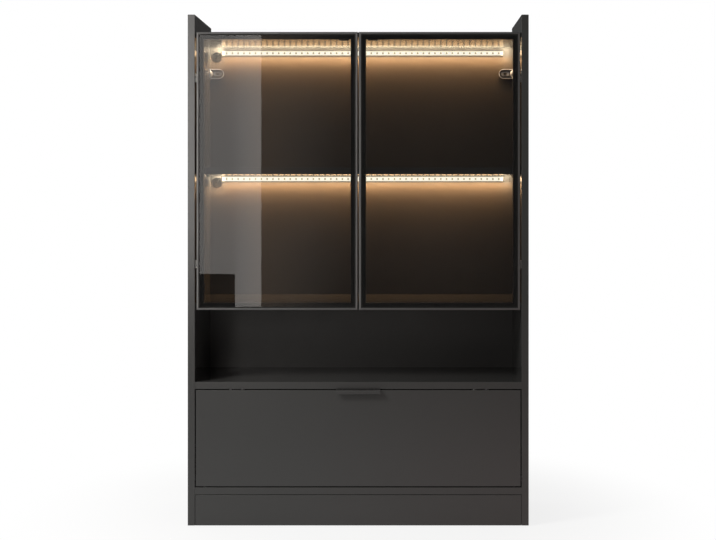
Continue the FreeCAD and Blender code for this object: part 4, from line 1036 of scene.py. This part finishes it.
for side in ("left", "right"):
    low, high = (np.array(corner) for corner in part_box(f"{side}_door_seal"))
    across = np.linspace(0, SEAL_WIDE, 41)
    ribs = sum(np.exp(-((across - at * SEAL_WIDE) / RIB_WIDE) ** 2) for at in RIBS_AT)
    edge = np.minimum(np.minimum(across, SEAL_WIDE - across) / EDGE_WIDE, 1.0)
    rounding = EDGE_DROP * (1 - np.sqrt(1 - (1 - edge) ** 2))
    front = SEAL_CLEAR + RIB_HEIGHT + rounding - RIB_HEIGHT * ribs
    thick = high[1] - low[1]
    section = np.concatenate([np.stack([across, front], axis=-1), [(SEAL_WIDE, thick), (0, thick)]])
    seal = mitred_ring(f"{side}_ribbed_seal", low, high, section, rubber)
    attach(seal, f"{side}_door")
    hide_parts(f"{side}_door_seal")

# %% [markdown]
# ## Dark wedges round the panes, as painted shade
# A dark hairline of shade runs round each pane, just inside the pale lip of the frame.
# A dark rubber wedge between the two stands in for that shade, as painted shade: it is
# as high as the lip on the outside and runs out thin on the glass. The same ring as for
# the seals carries its section round the pane.

# %% Gaskets, as painted shade
GASKET_WIDE, GASKET_HIGH, GASKET_THIN = 0.0043, 0.0009, 0.00025
GASKET_LAP, GASKET_CLEAR = 0.0005, 0.00005

for side in ("left", "right"):
    low, high = (np.array(corner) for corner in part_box(f"{side}_door_glass"))
    share = np.linspace(0, 1, 10)
    front = GASKET_HIGH + (GASKET_THIN - GASKET_HIGH) * share ** 2
    wedge = np.stack([share * GASKET_WIDE - GASKET_LAP, -front], axis=-1)
    base = [(GASKET_WIDE - GASKET_LAP, -GASKET_CLEAR), (-GASKET_LAP, -GASKET_CLEAR)]
    # painted shade: a black wedge where the gap between lip and glass lies in shade
    shade_gasket = mitred_ring(f"{side}_gasket", low, high, np.concatenate([wedge, base]), rubber)
    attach(shade_gasket, f"{side}_door")

# %% [markdown]
# ## Grommets
# Each light bar's lead leaves through a moulded grommet: a flange on the face of the
# back, a sleeve through it, and a web with a hole at the rear. The profile is one closed
# loop of points, turned about the lead. The plastic is dark, the sleeve is painted darker
# still as painted shade in the bore, and the web at the bottom is a little paler, so the
# tone follows the depth behind the face of the back.

# %% Profile of a grommet
BACK_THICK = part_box("display_back")[1].y - back_face
FLANGE_RADIUS, SLEEVE_RADIUS, BORE_RADIUS, HOLE_RADIUS = 0.02, 0.0183, 0.0169, 0.0021
FLANGE_THICK, WEB_THICK = 0.0016, 0.002
INNER_ROLL, OUTER_ROLL, WEB_FILLET = 0.0005, 0.0012, 0.0012


def arc_points(centre, radius, start, end, count=6):
    """Points on a circle's arc between two angles in degrees, as rows of radius and depth."""
    turn = np.radians(np.linspace(start, end, count))
    return np.stack([centre[0] + radius * np.cos(turn), centre[1] + radius * np.sin(turn)], axis=-1)


web_face = BACK_THICK - WEB_THICK
loop = np.concatenate([
    [(HOLE_RADIUS, web_face)],
    arc_points((BORE_RADIUS - WEB_FILLET, web_face - WEB_FILLET), WEB_FILLET, 90, 0),
    arc_points((BORE_RADIUS + INNER_ROLL, INNER_ROLL - FLANGE_THICK), INNER_ROLL, 180, 270),
    arc_points((FLANGE_RADIUS - OUTER_ROLL, OUTER_ROLL - FLANGE_THICK), OUTER_ROLL, -90, 0),
    [(FLANGE_RADIUS, 0.0), (SLEEVE_RADIUS, 0.0)],
    [(SLEEVE_RADIUS, BACK_THICK), (HOLE_RADIUS, BACK_THICK)],
])
round_angles = np.radians(np.arange(0, 360, 5.0))
grommet_rings = np.stack([
    loop[:, :1] * np.cos(round_angles),
    loop[:, 1:] + 0 * round_angles,
    loop[:, :1] * np.sin(round_angles),
], axis=-1)
print("grommet profile of", len(loop), "points")

# %% Grommets
FLANGE_TONES = (rgba(0.006, 0.0057, 0.0052), rgba(0.01, 0.0095, 0.0087))
WEB_TONES = (rgba(0.003, 0.0028, 0.0025), rgba(0.015, 0.014, 0.0125))
SLEEVE_SHADE = rgba(0.004, 0.004, 0.0035)


def make_grommet_finish():
    """Moulded plastic whose tone drops behind the face of the back, as painted shade, and lifts on
    the web.
    """
    finish = Finish("grommet_painted_shade", Roughness=0.5, Specular_IOR_Level=0.15)
    tree = finish.tree
    depth, web_at = finish.axis("Y"), back_face + web_face
    # painted shade: the sleeve behind the face of the back is darkened
    shaded_inside = ramp(tree, depth, back_face - 0.0011, back_face)
    at_web = ramp(tree, depth, web_at - 0.001, web_at - 0.0004)
    mottle = ramp(tree, noise(tree, finish.place, 420.0, 3.0), 0.35, 0.65)
    flange = blend_colours(tree, mottle, *FLANGE_TONES)
    web = blend_colours(tree, mottle, *WEB_TONES)
    tone = blend_colours(tree, shaded_inside, flange, SLEEVE_SHADE)
    finish.connect("Base Color", blend_colours(tree, at_web, tone, web))
    finish.bump(finish.group(skin_group, Peel=900.0)["Height"], 0.0003)
    return finish.material


grommet_low, grommet_high = solids_in("cable_grommets")
centres = (grommet_low + grommet_high) / 2
centres[:, 1] = back_face
skins = grommet_rings[None] + centres[:, None, None, :]
grommets = skinned("moulded_grommets", skins, True, make_grommet_finish())
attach(grommets, "carcass")
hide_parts("cable_grommets")

# %% [markdown]
# ## Black plugs in the wall brackets, as painted shade
# A black oval plug closes the hole of each wall bracket, as painted shade: it stands in
# for the shade inside the hole. It is a stadium: every point lies at some share of the
# way from a short centre line to an outline at an even distance from it. The height is
# nearly flat and falls at the rim, and two round finger dents are taken off it.

# %% Shape of a plug
PLUG_LONG, PLUG_HIGH, PLUG_THICK = 0.0135, 0.0072, 0.0012
PLUG_RINGS, PLUG_RIM, PLUG_FLATNESS = np.linspace(0, 0.86, 12), (0.93, 0.97, 1.0, 0.0), 8
SPINE_REACH = 1.6
DENT_AT, DENT_WIDE, DENT_DEEP = 0.0031, 0.0013, 0.0009

share = np.concatenate([PLUG_RINGS, PLUG_RIM])[:, None]
run, rise = np.cos(round_angles), np.sin(round_angles)
spine = (PLUG_LONG - PLUG_HIGH) / 2 * np.clip(run * SPINE_REACH, -1, 1)
across = spine + share * run * PLUG_HIGH / 2
upward = share * rise * PLUG_HIGH / 2
away = [(across - at) ** 2 + upward ** 2 for at in (-DENT_AT, DENT_AT)]
dents = sum(np.exp(-square / DENT_WIDE ** 2) for square in away)
crown = PLUG_THICK * np.sqrt(np.clip(1 - share ** PLUG_FLATNESS, 0, 1))
height = crown - DENT_DEEP * dents * (1 - share)
height[-1] = 0.0
plug = np.stack([across, -height, upward], axis=-1)
print("plug of", len(share), "rings")

# %% Bracket plugs
PAD_FACE = back_face - 0.0045
HOLE_FROM_SIDE = 0.028

bracket_low, bracket_high = solids_in("wall_brackets")
on_left = bracket_low[:, 0] < 0
hole_x = np.where(on_left, bracket_low[:, 0] + HOLE_FROM_SIDE, bracket_high[:, 0] - HOLE_FROM_SIDE)
hole_z = (bracket_low[:, 2] + bracket_high[:, 2]) / 2
centres = np.stack([hole_x, PAD_FACE + 0 * hole_x, hole_z], axis=-1)
# painted shade: black plugs fill the bracket holes
shade_plugs = skinned("bracket_shade_plugs", plug[None] + centres[:, None, None, :], False, black_nylon)
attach(shade_plugs, "carcass")
